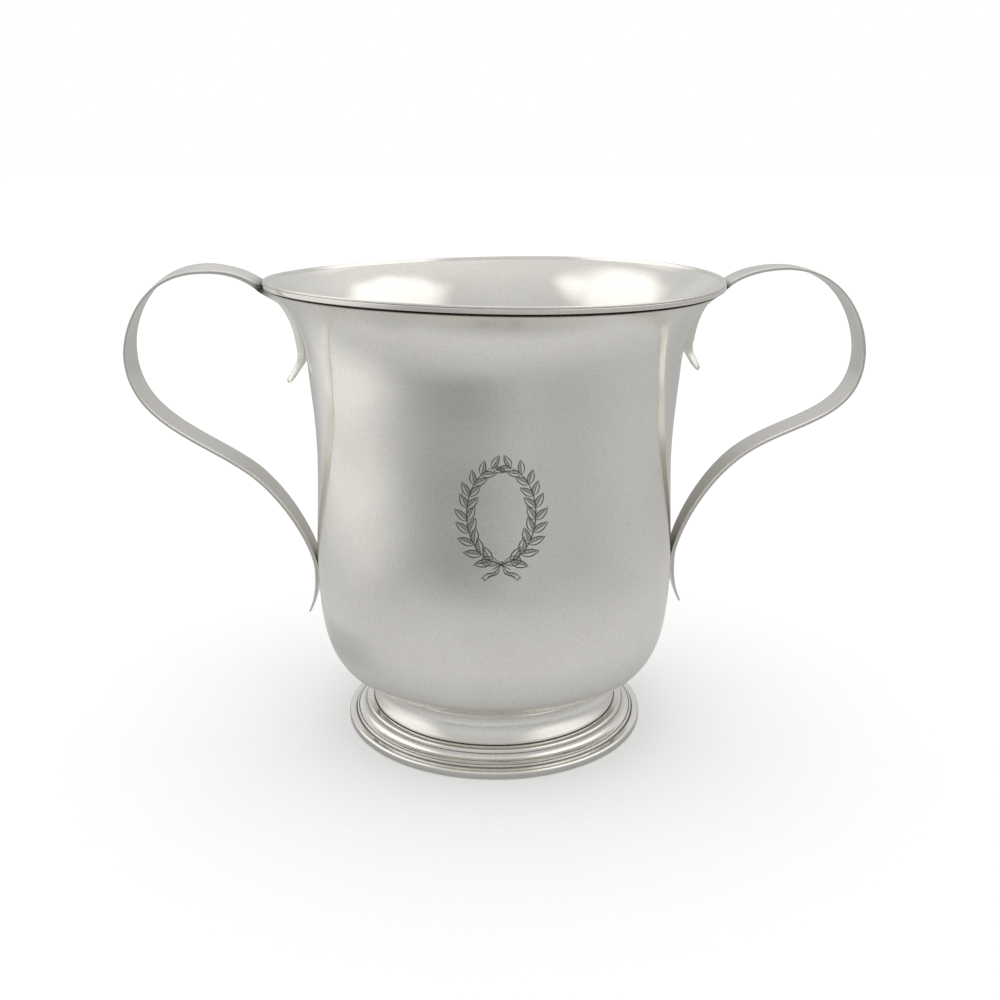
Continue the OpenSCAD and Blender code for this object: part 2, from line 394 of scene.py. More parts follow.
def turned(name: str, profile: Array, dull: Array, form: Form, wavy: Unevenness, gain: Array | float = 1.0,
           fine: Array | float = 0.0, segments: int = 288) -> Mesh:
    """Turns a profile round the axis, with the unevenness of handwork.

    Args:
        name: Name of the mesh.
        profile: Closed outline in millimetres, or one from the axis back to the axis.
        dull: Dullness of each point of the profile.
        form: The cup's sizes.
        wavy: Waves to lay on the surface.
        gain: Strength of the slow waves and ripples, one for all or one for each point of the profile.
        fine: Strength of the dents, in the same way.
        segments: Number of steps round the axis.

    Returns:
        The closed mesh in metres, with its dullness as the attribute "patina".
    """
    from_axis = profile[0, 0] < TINY and profile[-1, 0] < TINY
    kept = slice(1, -1) if from_axis else slice(None)
    rows = profile[kept]
    slow, quick = (np.broadcast_to(strength, len(profile))[kept] for strength in (gain, fine))
    angle, height = np.meshgrid(np.linspace(0, 2 * math.pi, segments, endpoint=False), rows[:, 1])
    radius = rows[:, :1] + wavy.waves(angle, height, slow, quick)
    level = height + wavy.sway(angle, height, form)
    points = np.stack([radius * np.cos(angle), radius * np.sin(angle), level], axis=-1).reshape(-1, 3)
    values = np.repeat(dull[kept], segments)
    count = len(rows)
    around = [(j, (j + 1) % segments) for j in range(segments)]
    faces: Faces = []
    for i in range(count - 1 if from_axis else count):
        here, there = i * segments, (i + 1) % count * segments
        faces += [(here + j, here + k, there + k, there + j) for j, k in around]
    if from_axis:
        hub, last = len(points), (count - 1) * segments
        points = np.concatenate([points, [[0, 0, profile[0, 1]], [0, 0, profile[-1, 1]]]])
        values = np.append(values, [dull[0], dull[-1]])
        for j, k in around:
            faces += [(hub, k, j), (hub + 1, last + j, last + k)]
    mesh = bpy.data.meshes.new(name)
    mesh.from_pydata((points * MM).tolist(), [], faces)
    mesh.validate()
    finished(mesh)
    store(mesh, "patina", values)
    return mesh


# Node trees


class Number:
    """Number in a node tree that Python's own signs work on."""

    def __init__(self, nodes: "Nodes", socket: Socket) -> None:
        """Keeps the number's socket and the tree it is in."""
        self.nodes = nodes
        self.socket = socket

    def sum(self, operation: str, *others: Any) -> "Number":
        """Result of a sum on this number and others."""
        return self.nodes.math(operation, self, *others)

    def __rsub__(self, other: float) -> "Number":
        """Another number less this one."""
        return self.nodes.math("SUBTRACT", other, self)

    __add__ = partialmethod(sum, "ADD")
    __sub__ = partialmethod(sum, "SUBTRACT")
    __mul__ = partialmethod(sum, "MULTIPLY")
    __truediv__ = partialmethod(sum, "DIVIDE")
    __pow__ = partialmethod(sum, "POWER")
    __lt__ = partialmethod(sum, "LESS_THAN")
    __abs__ = partialmethod(sum, "ABSOLUTE")


class Nodes:
    """Short way to add nodes to a tree and join them."""

    def __init__(self, tree: Tree) -> None:
        """Starts on a tree."""
        self.tree = tree

    def add(self, kind: str, inputs: dict[Any, Any] | None = None, **settings: Any) -> Node:
        """Adds a node.

        Args:
            kind: The node's type.
            inputs: Sockets or numbers to link from, or values, by the name or number of the input.
            **settings: Settings of the node itself.

        Returns:
            The new node.
        """
        node = self.tree.nodes.new(kind)
        for key, value in settings.items():
            setattr(node, key, value)
        for key, value in (inputs or {}).items():
            self.feed(node.inputs[key], value)
        return node

    def first(self, kind: str, inputs: dict[Any, Any] | None = None, **settings: Any) -> Socket:
        """First output of a new node."""
        return self.add(kind, inputs, **settings).outputs[0]

    def feed(self, socket: Socket, value: Any) -> None:
        """Links a socket or number to an input, or sets the input's value.

        Args:
            socket: The input.
            value: What it gets.
        """
        source = value.socket if isinstance(value, Number) else value
        if isinstance(source, Socket):
            self.tree.links.new(source, socket)
        else:
            socket.default_value = source

    def number(self, socket: Socket) -> Number:
        """A socket's number, for sums."""
        return Number(self, socket)

    def math(self, operation: str, *values: Any, clamp: bool = False) -> Number:
        """Result of a sum on numbers."""
        inputs = dict(enumerate(values))
        return Number(self, self.first("ShaderNodeMath", inputs, operation=operation, use_clamp=clamp))

    def combine(self, x: Any = 0.0, y: Any = 0.0, z: Any = 0.0) -> Socket:
        """Vector of three numbers."""
        return self.first("ShaderNodeCombineXYZ", {0: x, 1: y, 2: z})

    def grey(self, level: Number) -> Socket:
        """Colour of one level in all three parts."""
        return self.combine(level, level, level)

    def split(self, vector: Socket) -> tuple[Number, ...]:
        """The three numbers of a vector."""
        return tuple(Number(self, part) for part in self.add("ShaderNodeSeparateXYZ", {0: vector}).outputs)

    def plus(self, first: Socket, second: Socket) -> Socket:
        """Sum of two vectors."""
        return self.first("ShaderNodeVectorMath", {0: first, 1: second}, operation="ADD")

    def scaled(self, vector: Socket, size: Any) -> Socket:
        """Vector times a number."""
        return self.first("ShaderNodeVectorMath", {0: vector, "Scale": size}, operation="SCALE")

    def reach(self, x: Number, y: Number) -> Number:
        """Distance from the axis."""
        return self.math("SQRT", x * x + y * y)

    def azimuth(self, x: Number, y: Number) -> Number:
        """Degrees to the right of the front."""
        return self.math("ARCTAN2", x, y * -1.0) * RADIAN

    def noise(self, spot: Socket, scale: Any, detail: float, roughness: float = 0.5) -> Number:
        """Soft noise between 0 and 1."""
        inputs = {"Vector": spot, "Scale": scale, "Detail": detail, "Roughness": roughness}
        return Number(self, self.first("ShaderNodeTexNoise", inputs))

    def remap(self, value: Any, low: float, high: float, to_low: float = 0.0, to_high: float = 1.0,
              smooth: bool = True) -> Number:
        """Value taken from one range to another and held at its ends.

        Args:
            value: The value.
            low: Start of its range.
            high: End of its range.
            to_low: Result at the start.
            to_high: Result at the end.
            smooth: Whether the result eases in and out.

        Returns:
            The result.
        """
        kind = "SMOOTHSTEP" if smooth else "LINEAR"
        inputs = dict(enumerate((value, low, high, to_low, to_high)))
        return Number(self, self.first("ShaderNodeMapRange", inputs, interpolation_type=kind, clamp=True))

    def blend(self, share: Number, first: Socket, second: Socket) -> Socket:
        """Mix of two colours.

        Args:
            share: Share of the second colour.
            first: The first colour.
            second: The second colour.

        Returns:
            The mixed colour.
        """
        node = self.add("ShaderNodeMix", data_type="RGBA")
        for key, value in (("Factor_Float", share), ("A_Color", first), ("B_Color", second)):
            self.feed(next(s for s in node.inputs if s.identifier == key), value)
        return next(s for s in node.outputs if s.identifier == "Result_Color")

    def named(self, name: str, kind: str) -> Socket:
        """Attribute of the geometry, by name."""
        return self.first("GeometryNodeInputNamedAttribute", {"Name": name}, data_type=kind)

    def shape(self, obj: Socket) -> Socket:
        """Geometry of an object."""
        return self.add("GeometryNodeObjectInfo", {"Object": obj}).outputs["Geometry"]

    def end_mesh(self, geometry: Socket, material: Socket) -> None:
        """Ends a geometry tree with real instances and a material.

        Args:
            geometry: What the tree has made.
            material: Its material.
        """
        real = self.first("GeometryNodeRealizeInstances", {"Geometry": geometry})
        dressed = self.first("GeometryNodeSetMaterial", {"Geometry": real, "Material": material})
        self.add("NodeGroupOutput", {"Mesh": dressed})


def new_tree(name: str, kind: str, inputs: dict[str, tuple[Kind, Any]], outputs: dict[str, Kind]) -> Tree:
    """Node group with a named interface.

    Args:
        name: Name of the group.
        kind: Type of the tree.
        inputs: Kind and first value of each input, by name.
        outputs: Kind of each output, by name.

    Returns:
        The new tree, still without nodes.
    """
    tree = bpy.data.node_groups.new(name, kind)
    for label, (socket, value) in inputs.items():
        item = tree.interface.new_socket(label, in_out="INPUT", socket_type=socket.value)
        if value is not None:
            item.default_value = value
    for label, socket in outputs.items():
        tree.interface.new_socket(label, in_out="OUTPUT", socket_type=socket.value)
    return tree


def grown(name: str, tree: Tree, values: dict[str, Any]) -> Mesh:
    """Runs a geometry tree and keeps its result as a plain mesh.

    Args:
        name: Name of the mesh.
        tree: The geometry tree.
        values: Values of the tree's inputs, by name.

    Returns:
        The mesh, with nothing left of the modifier.
    """
    host = shown(name, bpy.data.meshes.new(name))
    modifier = host.modifiers.new("grow", "NODES")
    modifier.node_group = tree
    for item in tree.interface.items_tree:
        if item.in_out == "INPUT" and item.name in values:
            modifier[item.identifier] = values[item.name]
    depsgraph = bpy.context.evaluated_depsgraph_get()
    mesh = bpy.data.meshes.new_from_object(host.evaluated_get(depsgraph))
    host.modifiers.remove(modifier)
    bpy.data.objects.remove(host)
    mesh.name = name
    return mesh


# Finishes


@dataclass(frozen=True)
class SilverFinish:
    """Old silver: its colour, polish and wear, and a near-black for dirt and painted shadow in its deepest
    grooves.
    """

    name: str
    color: tuple[float, float, float] = (0.965, 0.943, 0.886)
    tarnish: tuple[float, float, float] = (0.38, 0.355, 0.31)
    # Near-black of the deepest grooves: dirt, and painted shadow in recesses under wires and mouldings
    grime: tuple[float, float, float] = (0.022, 0.020, 0.017)
    polish: float = 0.055
    haze: float = 0.13
    smudge_scale: float = 45.0
    scratch: float = 0.5
    rings: float = 0.2
    bump: float = 0.06
    bump_distance: float = 0.0002
    dull_rough: float = 0.3

    def inputs(self) -> dict[str, Any]:
        """Values of the wear group's inputs, by name."""
        return {"Silver": (*self.color, 1.0), "Tarnish": (*self.tarnish, 1.0), "Grime": (*self.grime, 1.0),
                "Polish": self.polish, "Haze": self.haze, "Smudge Scale": self.smudge_scale,
                "Scratches": self.scratch, "Rings": self.rings, "Dull Roughness": self.dull_rough}

    def material(self, group: Tree) -> Material:
        """Builds the material.

        Args:
            group: The shared wear group.

        Returns:
            The new material.
        """
        material = bpy.data.materials.new(self.name)
        material.use_nodes = True
        nodes = Nodes(material.node_tree)
        shader = material.node_tree.nodes["Principled BSDF"]
        dull = nodes.add("ShaderNodeAttribute", attribute_name="patina").outputs["Fac"]
        wear = nodes.add("ShaderNodeGroup", {**self.inputs(), "Patina": dull}, node_tree=group).outputs
        bump = nodes.first("ShaderNodeBump", {
            "Strength": self.bump, "Distance": self.bump_distance, "Height": wear["Height"]})
        looks = {"Metallic": 1.0, "Base Color": wear["Color"], "Roughness": wear["Roughness"], "Normal": bump}
        for key, value in looks.items():
            nodes.feed(shader.inputs[key], value)
        return material


@dataclass(frozen=True)
class SilverWear:
    """Shared wear of silver: smudges, hairline scratches, turning rings and dull grooves, which are tarnish
    and in some places painted shade.

    A scale is the number of a noise's cells in a metre. A pair is the stretch of a noise in which a mark
    comes up.
    """

    smudges: Pair = (0.38, 0.72)
    smudge_film: float = 0.07
    grain_scale: float = 2600.0
    grain_height: float = 0.25
    hair_turns: tuple[tuple[float, float, float], ...] = ((0.4, 0.2, 0.9), (1.1, 0.7, 2.1), (0.1, 1.3, 0.3))
    hair_lengths: tuple[float, ...] = (26.0, 18.0, 34.0)
    hair_scales: tuple[float, ...] = (1500.0, 1300.0, 1100.0)
    hairs: Pair = (0.66, 0.76)
    hair_rough: float = 0.12
    patch_scale: float = 70.0
    patches: Pair = (0.42, 0.66)
    ring_scale: float = 4200.0
    ring_drift: float = 0.0012
    speck_scale: float = 3400.0
    specks: Pair = (0.3, 0.7)
    speck_film: float = 0.22
    dull_grain: tuple[float, float, float, float] = (0.2, 0.8, 0.8, 1.0)
    # Stretch of dullness over which the colour goes to near-black, for dirt and painted shadow in recesses
    grime: Pair = (0.74, 0.95)

    def tree(self) -> Tree:
        """Builds the node group.

        Returns:
            The group, with the colour, roughness and height of the silver as its outputs.
        """
        inputs = {"Patina": (Kind.FLOAT, 0.0)}
        for name, value in SilverFinish("plain").inputs().items():
            inputs[name] = (Kind.COLOR if isinstance(value, tuple) else Kind.FLOAT, value)
        outputs = {"Color": Kind.COLOR, "Roughness": Kind.FLOAT, "Height": Kind.FLOAT}
        tree = new_tree("silver_wear", "ShaderNodeTree", inputs, outputs)
        nodes = Nodes(tree)
        given = nodes.add("NodeGroupInput").outputs
        spot = nodes.add("ShaderNodeTexCoord").outputs["Object"]
        x, y, z = nodes.split(spot)
        smudge = nodes.remap(nodes.noise(spot, given["Smudge Scale"], 5.0, 0.6), *self.smudges)
        grain = nodes.noise(spot, self.grain_scale, 2.0)

        hairs: Any = 0.0
        for turn, length, scale in zip(self.hair_turns, self.hair_lengths, self.hair_scales):
            laid = nodes.first("ShaderNodeMapping", {
                "Vector": spot, "Rotation": turn, "Scale": (1.0, 1.0 / length, 1.0)})
            hairs = nodes.math("MAXIMUM", hairs, nodes.remap(nodes.noise(laid, scale, 1.0), *self.hairs))
        patchy = nodes.remap(nodes.noise(spot, self.patch_scale, 2.0), *self.patches)
        hairs = hairs * patchy * given["Scratches"]

        wound = nodes.combine(nodes.reach(x, y), nodes.math("ARCTAN2", y, x) * self.ring_drift, z)
        rings = nodes.noise(wound, self.ring_scale, 2.0) * given["Rings"]

        # Dull places go towards tarnish; where the profile marks them so, this is painted shade
        dull = nodes.remap(grain, *self.dull_grain) * given["Patina"]
        speck = nodes.remap(nodes.noise(spot, self.speck_scale, 3.0), *self.specks)
        film = nodes.math("MAXIMUM", dull, smudge * self.smudge_film + speck * self.speck_film)
        color = nodes.blend(film, given["Silver"], given["Tarnish"])
        # The strongest grooves go near-black: dirt and painted shadow
        color = nodes.blend(nodes.remap(dull, *self.grime), color, given["Grime"])

        spread = nodes.number(given["Haze"]) - given["Polish"]
        rough = smudge * spread + given["Polish"] + hairs * self.hair_rough + dull * given["Dull Roughness"]
        height = grain * self.grain_height + rings + hairs
        nodes.add("NodeGroupOutput", {"Color": color, "Roughness": rough, "Height": height})
        return tree


# The pieces


@dataclass
class Bowl:
    """The raised bowl.

    A pair is two depths below the edge inside, between which something comes up or fades.
    """

    form: Form
    wavy: Unevenness
    inside_gain: float = 2.0
    outside_dents: float = 0.3
    inside_dents: float = 6.0
    wave_start: Pair = (1.0, 6.0)
    wave_end: Pair = (18.0, 10.0)
    wave_least: float = 0.1
    dent_end: Pair = (13.0, 8.0)
    satin: float = 0.17
    satin_start: Pair = (13.0, 22.0)
    # A faint darker, duller band on the outside of the flare just below the lip
    flare_dark_band: Groove = Groove(54.4, 115.8, 3.2, 0.09)
    floor_rings: int = 12
    name: str = "bowl_raised"

    def build(self) -> Object:
        """Turns the bowl's sheet, from the middle of the floor outside to the middle inside.

        Returns:
            The bowl, still without its silver.
        """
        form = self.form
        outer, slopes = form.outside()
        inner = outer - form.wall * right_of(slopes)
        edge_z = form.lip[1] + form.wall / math.cos(math.radians(form.lip_slope))
        floor = np.linspace(0.0, form.floor_r, self.floor_rings, endpoint=False)
        below = np.stack([floor, np.full_like(floor, form.floor_z)], axis=1)
        above = below[::-1] + [0.0, form.wall]
        profile = np.concatenate([below, outer, [[form.lip[0], edge_z]], inner[::-1], above])
        outside = slice(len(below), len(below) + len(outer))
        inside = slice(outside.stop + 1, len(profile) - len(above))

        deep = edge_z - profile[inside, 1]
        start = share_of(deep, *self.wave_start)
        gain, fine = np.ones(len(profile)), np.full(len(profile), self.outside_dents)
        gain[inside] += self.inside_gain * start * np.maximum(share_of(deep, *self.wave_end), self.wave_least)
        fine[inside] += self.inside_dents * start * share_of(deep, *self.dent_end)

        # Darker and duller at the lip under the rim wire, tarnish with painted shadow; at the floor's edge,
        # tarnish in the joint; faintly over the low knuckle, painted shade near the foot
        dull = patina(profile, [
            Groove(*form.lip, 0.5, 1.2), Groove(form.floor_r, form.floor_z, 0.9, 0.5),
            Groove(form.floor_r + 5.0, form.floor_z + 1.5, 7.0, 0.13)])
        dull[outside] = np.maximum(dull[outside], patina(outer, [self.flare_dark_band]))
        dull[inside] = np.maximum(dull[inside], self.satin * share_of(deep, *self.satin_start))
        dull[-len(above):] = self.satin
        return shown(self.name, turned(self.name, profile, dull, form, self.wavy, gain, fine))

    def dress(self, obj: Object, material: Material) -> None:
        """Gives the bowl its silver and its place."""
        obj.data.materials.append(material)
        place(obj, Slot.BOWL, "bowl")


@dataclass
class Ring:
    """A turned or drawn ring of the cup."""

    name: str
    node: str
    slot: Slot
    outline: Array
    grooves: list[Groove] = field(default_factory=list)

    def build(self, form: Form, wavy: Unevenness) -> Object:
        """Turns the ring's outline."""
        dull = patina(self.outline, self.grooves)
        return shown(self.name, turned(self.name, self.outline, dull, form, wavy))

    def dress(self, obj: Object, material: Material) -> None:
        """Gives the ring its silver and its place."""
        obj.data.materials.append(material)
        place(obj, self.slot, self.node)


def corners_at(r: float, z: float, *steps: tuple[float, float, float]) -> list[tuple[float, float, float]]:
    """Corners of an outline, given by their steps from one place and their rounding."""
    return [(r + out, z + up, rounding) for out, up, rounding in steps]


def grooves_at(r: float, z: float, *steps: tuple[float, ...]) -> list[Groove]:
    """Grooves given by their steps from one place, their reach and their strength."""
    return [Groove(r + out, z + up, *rest) for out, up, *rest in steps]


@dataclass(frozen=True)
class Mouldings:
    """The rim wire and the foot's four rings, in millimetres."""

    form: Form
    step: float = 0.16
    gap: float = 0.05
    bead_r: float = 0.9
    bead_points: int = 44
    foot_wall: float = 1.1
    collar_r: float = 33.35
    collar_step: float = 0.3
    cove_z: float = 14.4
    cove_steps: int = 40
    shelf_z: float = 5.7
    hollow_steps: int = 16
    base_r: float = 40.42
    base_h: float = 2.1

    def rim(self) -> Ring:
        """Wire round the lip: a recess below, a plain face, a fine line and a top bead.

        Returns:
            The ring.
        """
        r, z = self.form.rim_r, self.form.rim_z
        back = self.form.lip[0] - self.gap - r
        corners = corners_at(
            r, z, (back, -2.05, 0.0), (-0.8, -2.05, 0.05), (-0.8, -1.62, 0.05), (-0.06, -1.6, 0.08),
            (0.0, -1.3, 0.2), (-0.02, -0.62, 0.08), (-0.28, -0.5, 0.04), (-0.14, -0.42, 0.06),
            (-0.2, 0.0, 0.2), (-0.7, -0.02, 0.25), (back, -0.95, 0.0))
        # The recess under the wire's face goes near-black, a painted shadow of the overhang with tarnish; the
        # fine line is darkened too
        grooves = grooves_at(r, z, (-0.75, -1.85, 0.55, 1.3), (-0.28, -0.5, 0.12, 0.8))
        return Ring("rim_wire_moulded", "rim_wire", Slot.WIRE, rounded(corners, self.step), grooves)

    def bead(self) -> Ring:
        """Round wire in the angle between bowl and collar.

        Returns:
            The ring.
        """
        r, z = self.form.floor_r, self.form.floor_z - self.bead_r - self.gap
        angles = np.linspace(0, 2 * math.pi, self.bead_points, endpoint=False)
        outline = [r, z] + self.bead_r * np.stack([np.cos(angles), np.sin(angles)], axis=1)
        half = self.bead_r
        grooves = grooves_at(r, z, (0.0, half, 0.5), (-half, 0.0, 0.5), (-0.2, -half, 0.6))
        return Ring("bead_wire_drawn", "bead_wire", Slot.WIRE, outline, grooves)

    def collar(self) -> Ring:
        """Hollow-sided ring that carries the bowl.

        Returns:
            The ring.
        """
        r, z = self.collar_r, self.shelf_z
        top = np.array([self.form.floor_r - self.bead_r - self.gap, self.cove_z])
        foot = np.array([r, z + 0.75])
        cove = Span(top, np.array([-2.6, -0.8]), foot, np.array([2.2, -2.6])).sample(self.cove_steps)[0]
        heel = [[r + 0.03, z + 0.5], [r - 0.01, z + 0.2], [r - 0.15, z]]
        outside = np.concatenate([[[top[0], self.form.floor_z]], cove, heel])
        both = np.concatenate([outside, outside[::-1] - [self.foot_wall, 0.0]])
        outline = spaced(both, self.collar_step)
        # The second mark darkens the lower collar: painted shade from the bowl above
        grooves = grooves_at(r, z, (-0.13, 0.0, 0.08), (-0.25, 1.2, 1.9, 0.34))
        grooves.append(Groove(top[0], top[1] + 0.7, 0.7))
        return Ring("foot_collar_turned", "foot_collar", Slot.FOOT, outline, grooves)

    def flange(self) -> Ring:
        """Stepped ring: a flat shelf, a small step, a hollow and a fine line.

        Returns:
            The ring.
        """
        r, z = self.collar_r, self.shelf_z
        high, low = np.array([r + 2.4, z - 1.08]), np.array([r + 4.15, z - 2.7])
        curve = Span(high, np.array([0.1, -1.1]), low, np.array([0.9, -0.22]))
        hollow = curve.sample(self.hollow_steps)[0]
        corners = corners_at(
            r, z, (-2.15, 0.0, 0.0), (-0.05, 0.0, 0.02), (-0.01, -0.28, 0.03), (0.09, -0.28, 0.03),
            (0.15, -0.02, 0.06), (1.85, -0.1, 0.12), (2.15, -0.4, 0.1), (2.25, -0.96, 0.08))
        corners += [(float(out), float(up), 0.0) for out, up in hollow]
        corners += corners_at(
            r, z, (4.25, -2.75, 0.05), (4.31, -2.92, 0.04), (4.49, -2.94, 0.04), (4.57, -2.84, 0.05),
            (4.93, -2.96, 0.12), (4.99, -3.58, 0.05), (3.55, -3.58, 0.1), (2.25, -2.5, 0.4),
            (0.95, -1.2, 0.4), (-2.15, -1.1, 0.1))
        grooves = grooves_at(
            r, z, (0.03, -0.14, 0.28, 1.3), (2.31, -1.0, 0.2), (4.4, -2.92, 0.2), (4.99, -3.55, 0.35),
            (1.25, -0.2, 1.3, 0.16))
        return Ring("foot_flange_turned", "foot_flange", Slot.FOOT, rounded(corners, self.step), grooves)

    def base(self) -> Ring:
        """Rounded wire on which the cup stands.

        Returns:
            The ring.
        """
        r, h = self.base_r, self.base_h
        corners = corners_at(
            r, 0.0, (-4.07, 0.0, 0.1), (-0.32, 0.0, 0.12), (0.0, 0.3, 0.2), (0.0, h, 1.15), (-1.8, h, 0.08),
            (-1.86, h - 0.24, 0.04), (-2.0, h - 0.24, 0.04), (-2.08, h, 0.05), (-4.07, h, 0.1))
        grooves = grooves_at(r, 0.0, (-1.92, h - 0.2, 0.32), (-0.22, 0.0, 0.3, 0.6))
        return Ring("base_wire_turned", "base_wire", Slot.WIRE, rounded(corners, self.step), grooves)


@dataclass(frozen=True)
class Leg:
    """A stretch of a strap, with its facts at both ends.

    These are its press on the bowl, its lean, its thickness, the share by which its outer face is narrower
    and the dullness of its inner face.
    """

    points: Array
    slopes: Array
    seat: Pair = (0.0, 0.0)
    lean: Pair = (0.0, 0.0)
    thick: Pair = (0.95, 0.95)
    bevel: Pair = (0.0, 0.0)
    inner: Pair = (0.0, 0.0)

    def ramp(self, ends: Pair, power: float) -> Array:
        """A fact at each point, from one end's to the other's."""
        return ends[0] + (ends[1] - ends[0]) * np.linspace(0.0, 1.0, len(self.points)) ** power


@dataclass(frozen=True)
class StrapShape:
    """What differs between the two straps, in millimetres and degrees."""

    lift: float
    rise: float
    lean: float
    crown_up: float
    root_t: float
    pass_t: float
    tip_t: float
    tip_r: float
    tail_turn: float
    rim_gap: float
    rim_shade: float
    fall_dull: float


STRAP_SHAPES = {
    Side.LEFT: StrapShape(
        lift=0.0, rise=28.4, lean=6.0, crown_up=2.0, root_t=2.2, pass_t=1.4, tip_t=1.4, tip_r=52.9,
        tail_turn=118.0, rim_gap=0.35, rim_shade=3.0, fall_dull=0.45),
    Side.RIGHT: StrapShape(
        lift=3.3, rise=29.7, lean=-1.0, crown_up=2.4, root_t=2.2, pass_t=1.0, tip_t=1.3, tip_r=52.2,
        tail_turn=112.0, rim_gap=-0.2, rim_shade=1.6, fall_dull=0.74),
}


@dataclass(frozen=True)
class StrapPath:
    """Middle line of a strap from its upper tail over its crown to its lower tail.

    Sizes are in millimetres and slopes in degrees. A pull says how straight the line runs at a place. The
    pulls of the fall are shares of its height.
    """

    form: Form
    side: Side
    gap: float = 0.05
    strap_t: float = 0.95
    joint_t: float = 1.15
    low_tip_t: float = 0.55
    bevel: float = 0.2
    width: float = 10.2
    low_width: float = 6.0
    taper_from: float = 0.72
    root_z: float = 102.7
    tip_z: float = 93.5
    flick_pull: float = 4.5
    hug_pull: float = 4.0
    hug_until: float = 0.72
    rim_up: float = 0.22
    rim_slope: float = 42.0
    rim_pull: float = 4.88
    lead_share: float = 0.33
    crown_out: float = 14.8
    crown_pull: float = 16.96
    bend_out: float = 36.0
    bend_down: float = 19.7
    bend_pulls: Pair = (5.91, 16.56)
    scroll_out: float = 18.0
    scroll_slope: float = 215.4
    scroll_pull: float = 15.12
    fall_pulls: Pair = (0.41, 0.23)
    joint_down: float = 4.0
    joint_pull: float = 6.15
    low_tip_out: float = 3.2
    low_tip_down: float = 12.3
    low_tip_slope: float = -62.0
    low_tip_pull: float = 3.08
    rim_dull: float = 0.5
    crown_dull: float = 0.2
    bend_dull: float = 0.15
    scroll_dull: float = 0.5
    seat_power: float = 4.0
    lean_power: float = 2.0
    dull_power: float = 0.5
    few: int = 12
    some: int = 24
    many: int = 48

    @property
    def shape(self) -> StrapShape:
        """This strap's own sizes."""
        return STRAP_SHAPES[self.side]

    def rim_pass(self) -> Array:
        """Place of the middle line where the strap passes under the rim wire."""
        low = np.array([self.form.rim_r, self.form.lip[1] + self.rim_up])
        return low + (self.shape.rim_gap + self.shape.pass_t / 2) * right_of(heading(self.rim_slope))

    def legs(self) -> list[Leg]:
        """The strap's stretches.

        Returns:
            The stretches in order, from the upper tail down.
        """
        form, own = self.form, self.shape
        since = (self.root_z + own.lift - form.neck[1]) / (3 * form.flare_pulls[0] * form.flare_rise)
        hug, slopes = form.flare().sample(self.some, 0, self.hug_until, since)
        thick = np.linspace(own.root_t, own.pass_t, len(hug))
        hug = hug + (self.gap + thick / 2)[:, None] * right_of(slopes)

        belly = np.array(form.belly)
        tip = np.array([own.tip_r, self.tip_z + own.lift])
        under = self.rim_pass()
        crown = np.array([form.rim_r + self.crown_out, form.rim_z + own.crown_up])
        bend = np.array([form.rim_r + self.bend_out, form.rim_z - self.bend_down])
        joint = belly + [self.gap + self.joint_t / 2, own.lift - self.joint_down]
        scroll = np.array([belly[0] + self.scroll_out, joint[1] + own.rise])
        low_tip = np.array([belly[0] + self.low_tip_out, joint[1] - self.low_tip_down])

        flick = self.flick_pull * heading(own.tail_turn)
        lead = self.lead_share * float(np.linalg.norm(under - hug[-1]))
        slope, turn = heading(self.rim_slope), heading(self.scroll_slope)
        reach_bend, leave_bend = (-pull * UP for pull in self.bend_pulls)
        leave_scroll, reach_joint = self.fall_pulls[0] * own.rise * turn, -self.fall_pulls[1] * own.rise * UP
        tail = Span(tip, flick, hug[0], self.hug_pull * slopes[0])
        pass_by = Span(hug[-1], lead * slopes[-1], under, lead * slope)
        rise = Span(under, self.rim_pull * slope, crown, self.rim_pull * OVER)
        swing = Span(crown, self.crown_pull * OVER, bend, reach_bend)
        back = Span(bend, leave_bend, scroll, self.scroll_pull * turn)
        fall = Span(scroll, leave_scroll, joint, reach_joint)
        reach_tip = self.low_tip_pull * heading(self.low_tip_slope)
        low_tail = Span(joint, -self.joint_pull * UP, low_tip, reach_tip)

        lean, cut = math.radians(own.lean), -self.bevel
        return [
            Leg(*tail.sample(self.some), seat=(0, 1), thick=(own.tip_t, own.root_t), bevel=(cut, cut)),
            Leg(hug[1:], slopes[1:], seat=(1, 1), thick=(thick[1], own.pass_t), bevel=(cut, cut)),
            Leg(*pass_by.sample(self.few, 1), seat=(1, 0), thick=(own.pass_t, own.pass_t), bevel=(cut, 0)),
            Leg(*rise.sample(self.some, 1), lean=(0, lean), thick=(own.pass_t, self.strap_t),
                inner=(self.rim_dull, self.crown_dull)),
            Leg(*swing.sample(self.many, 1), lean=(lean, 0), inner=(self.crown_dull, self.bend_dull)),
            Leg(*back.sample(self.many, 1), inner=(self.bend_dull, self.scroll_dull)),
            Leg(*fall.sample(self.many, 1), seat=(0, -1), thick=(self.strap_t, self.joint_t),
                inner=(self.scroll_dull, own.fall_dull)),
            Leg(*low_tail.sample(self.some, 1), seat=(-1, 0), thick=(self.joint_t, self.low_tip_t)),
        ]

    def guide(self) -> Object:
        """Line for the sweep to follow.

        Returns:
            The line as an object, with the strap's facts on its points.
        """
        legs = self.legs()

        def fact(name: str, power: float = 1.0) -> Array:
            """One of the legs' facts at every point of the line."""
            return np.concatenate([leg.ramp(getattr(leg, name), power) for leg in legs])

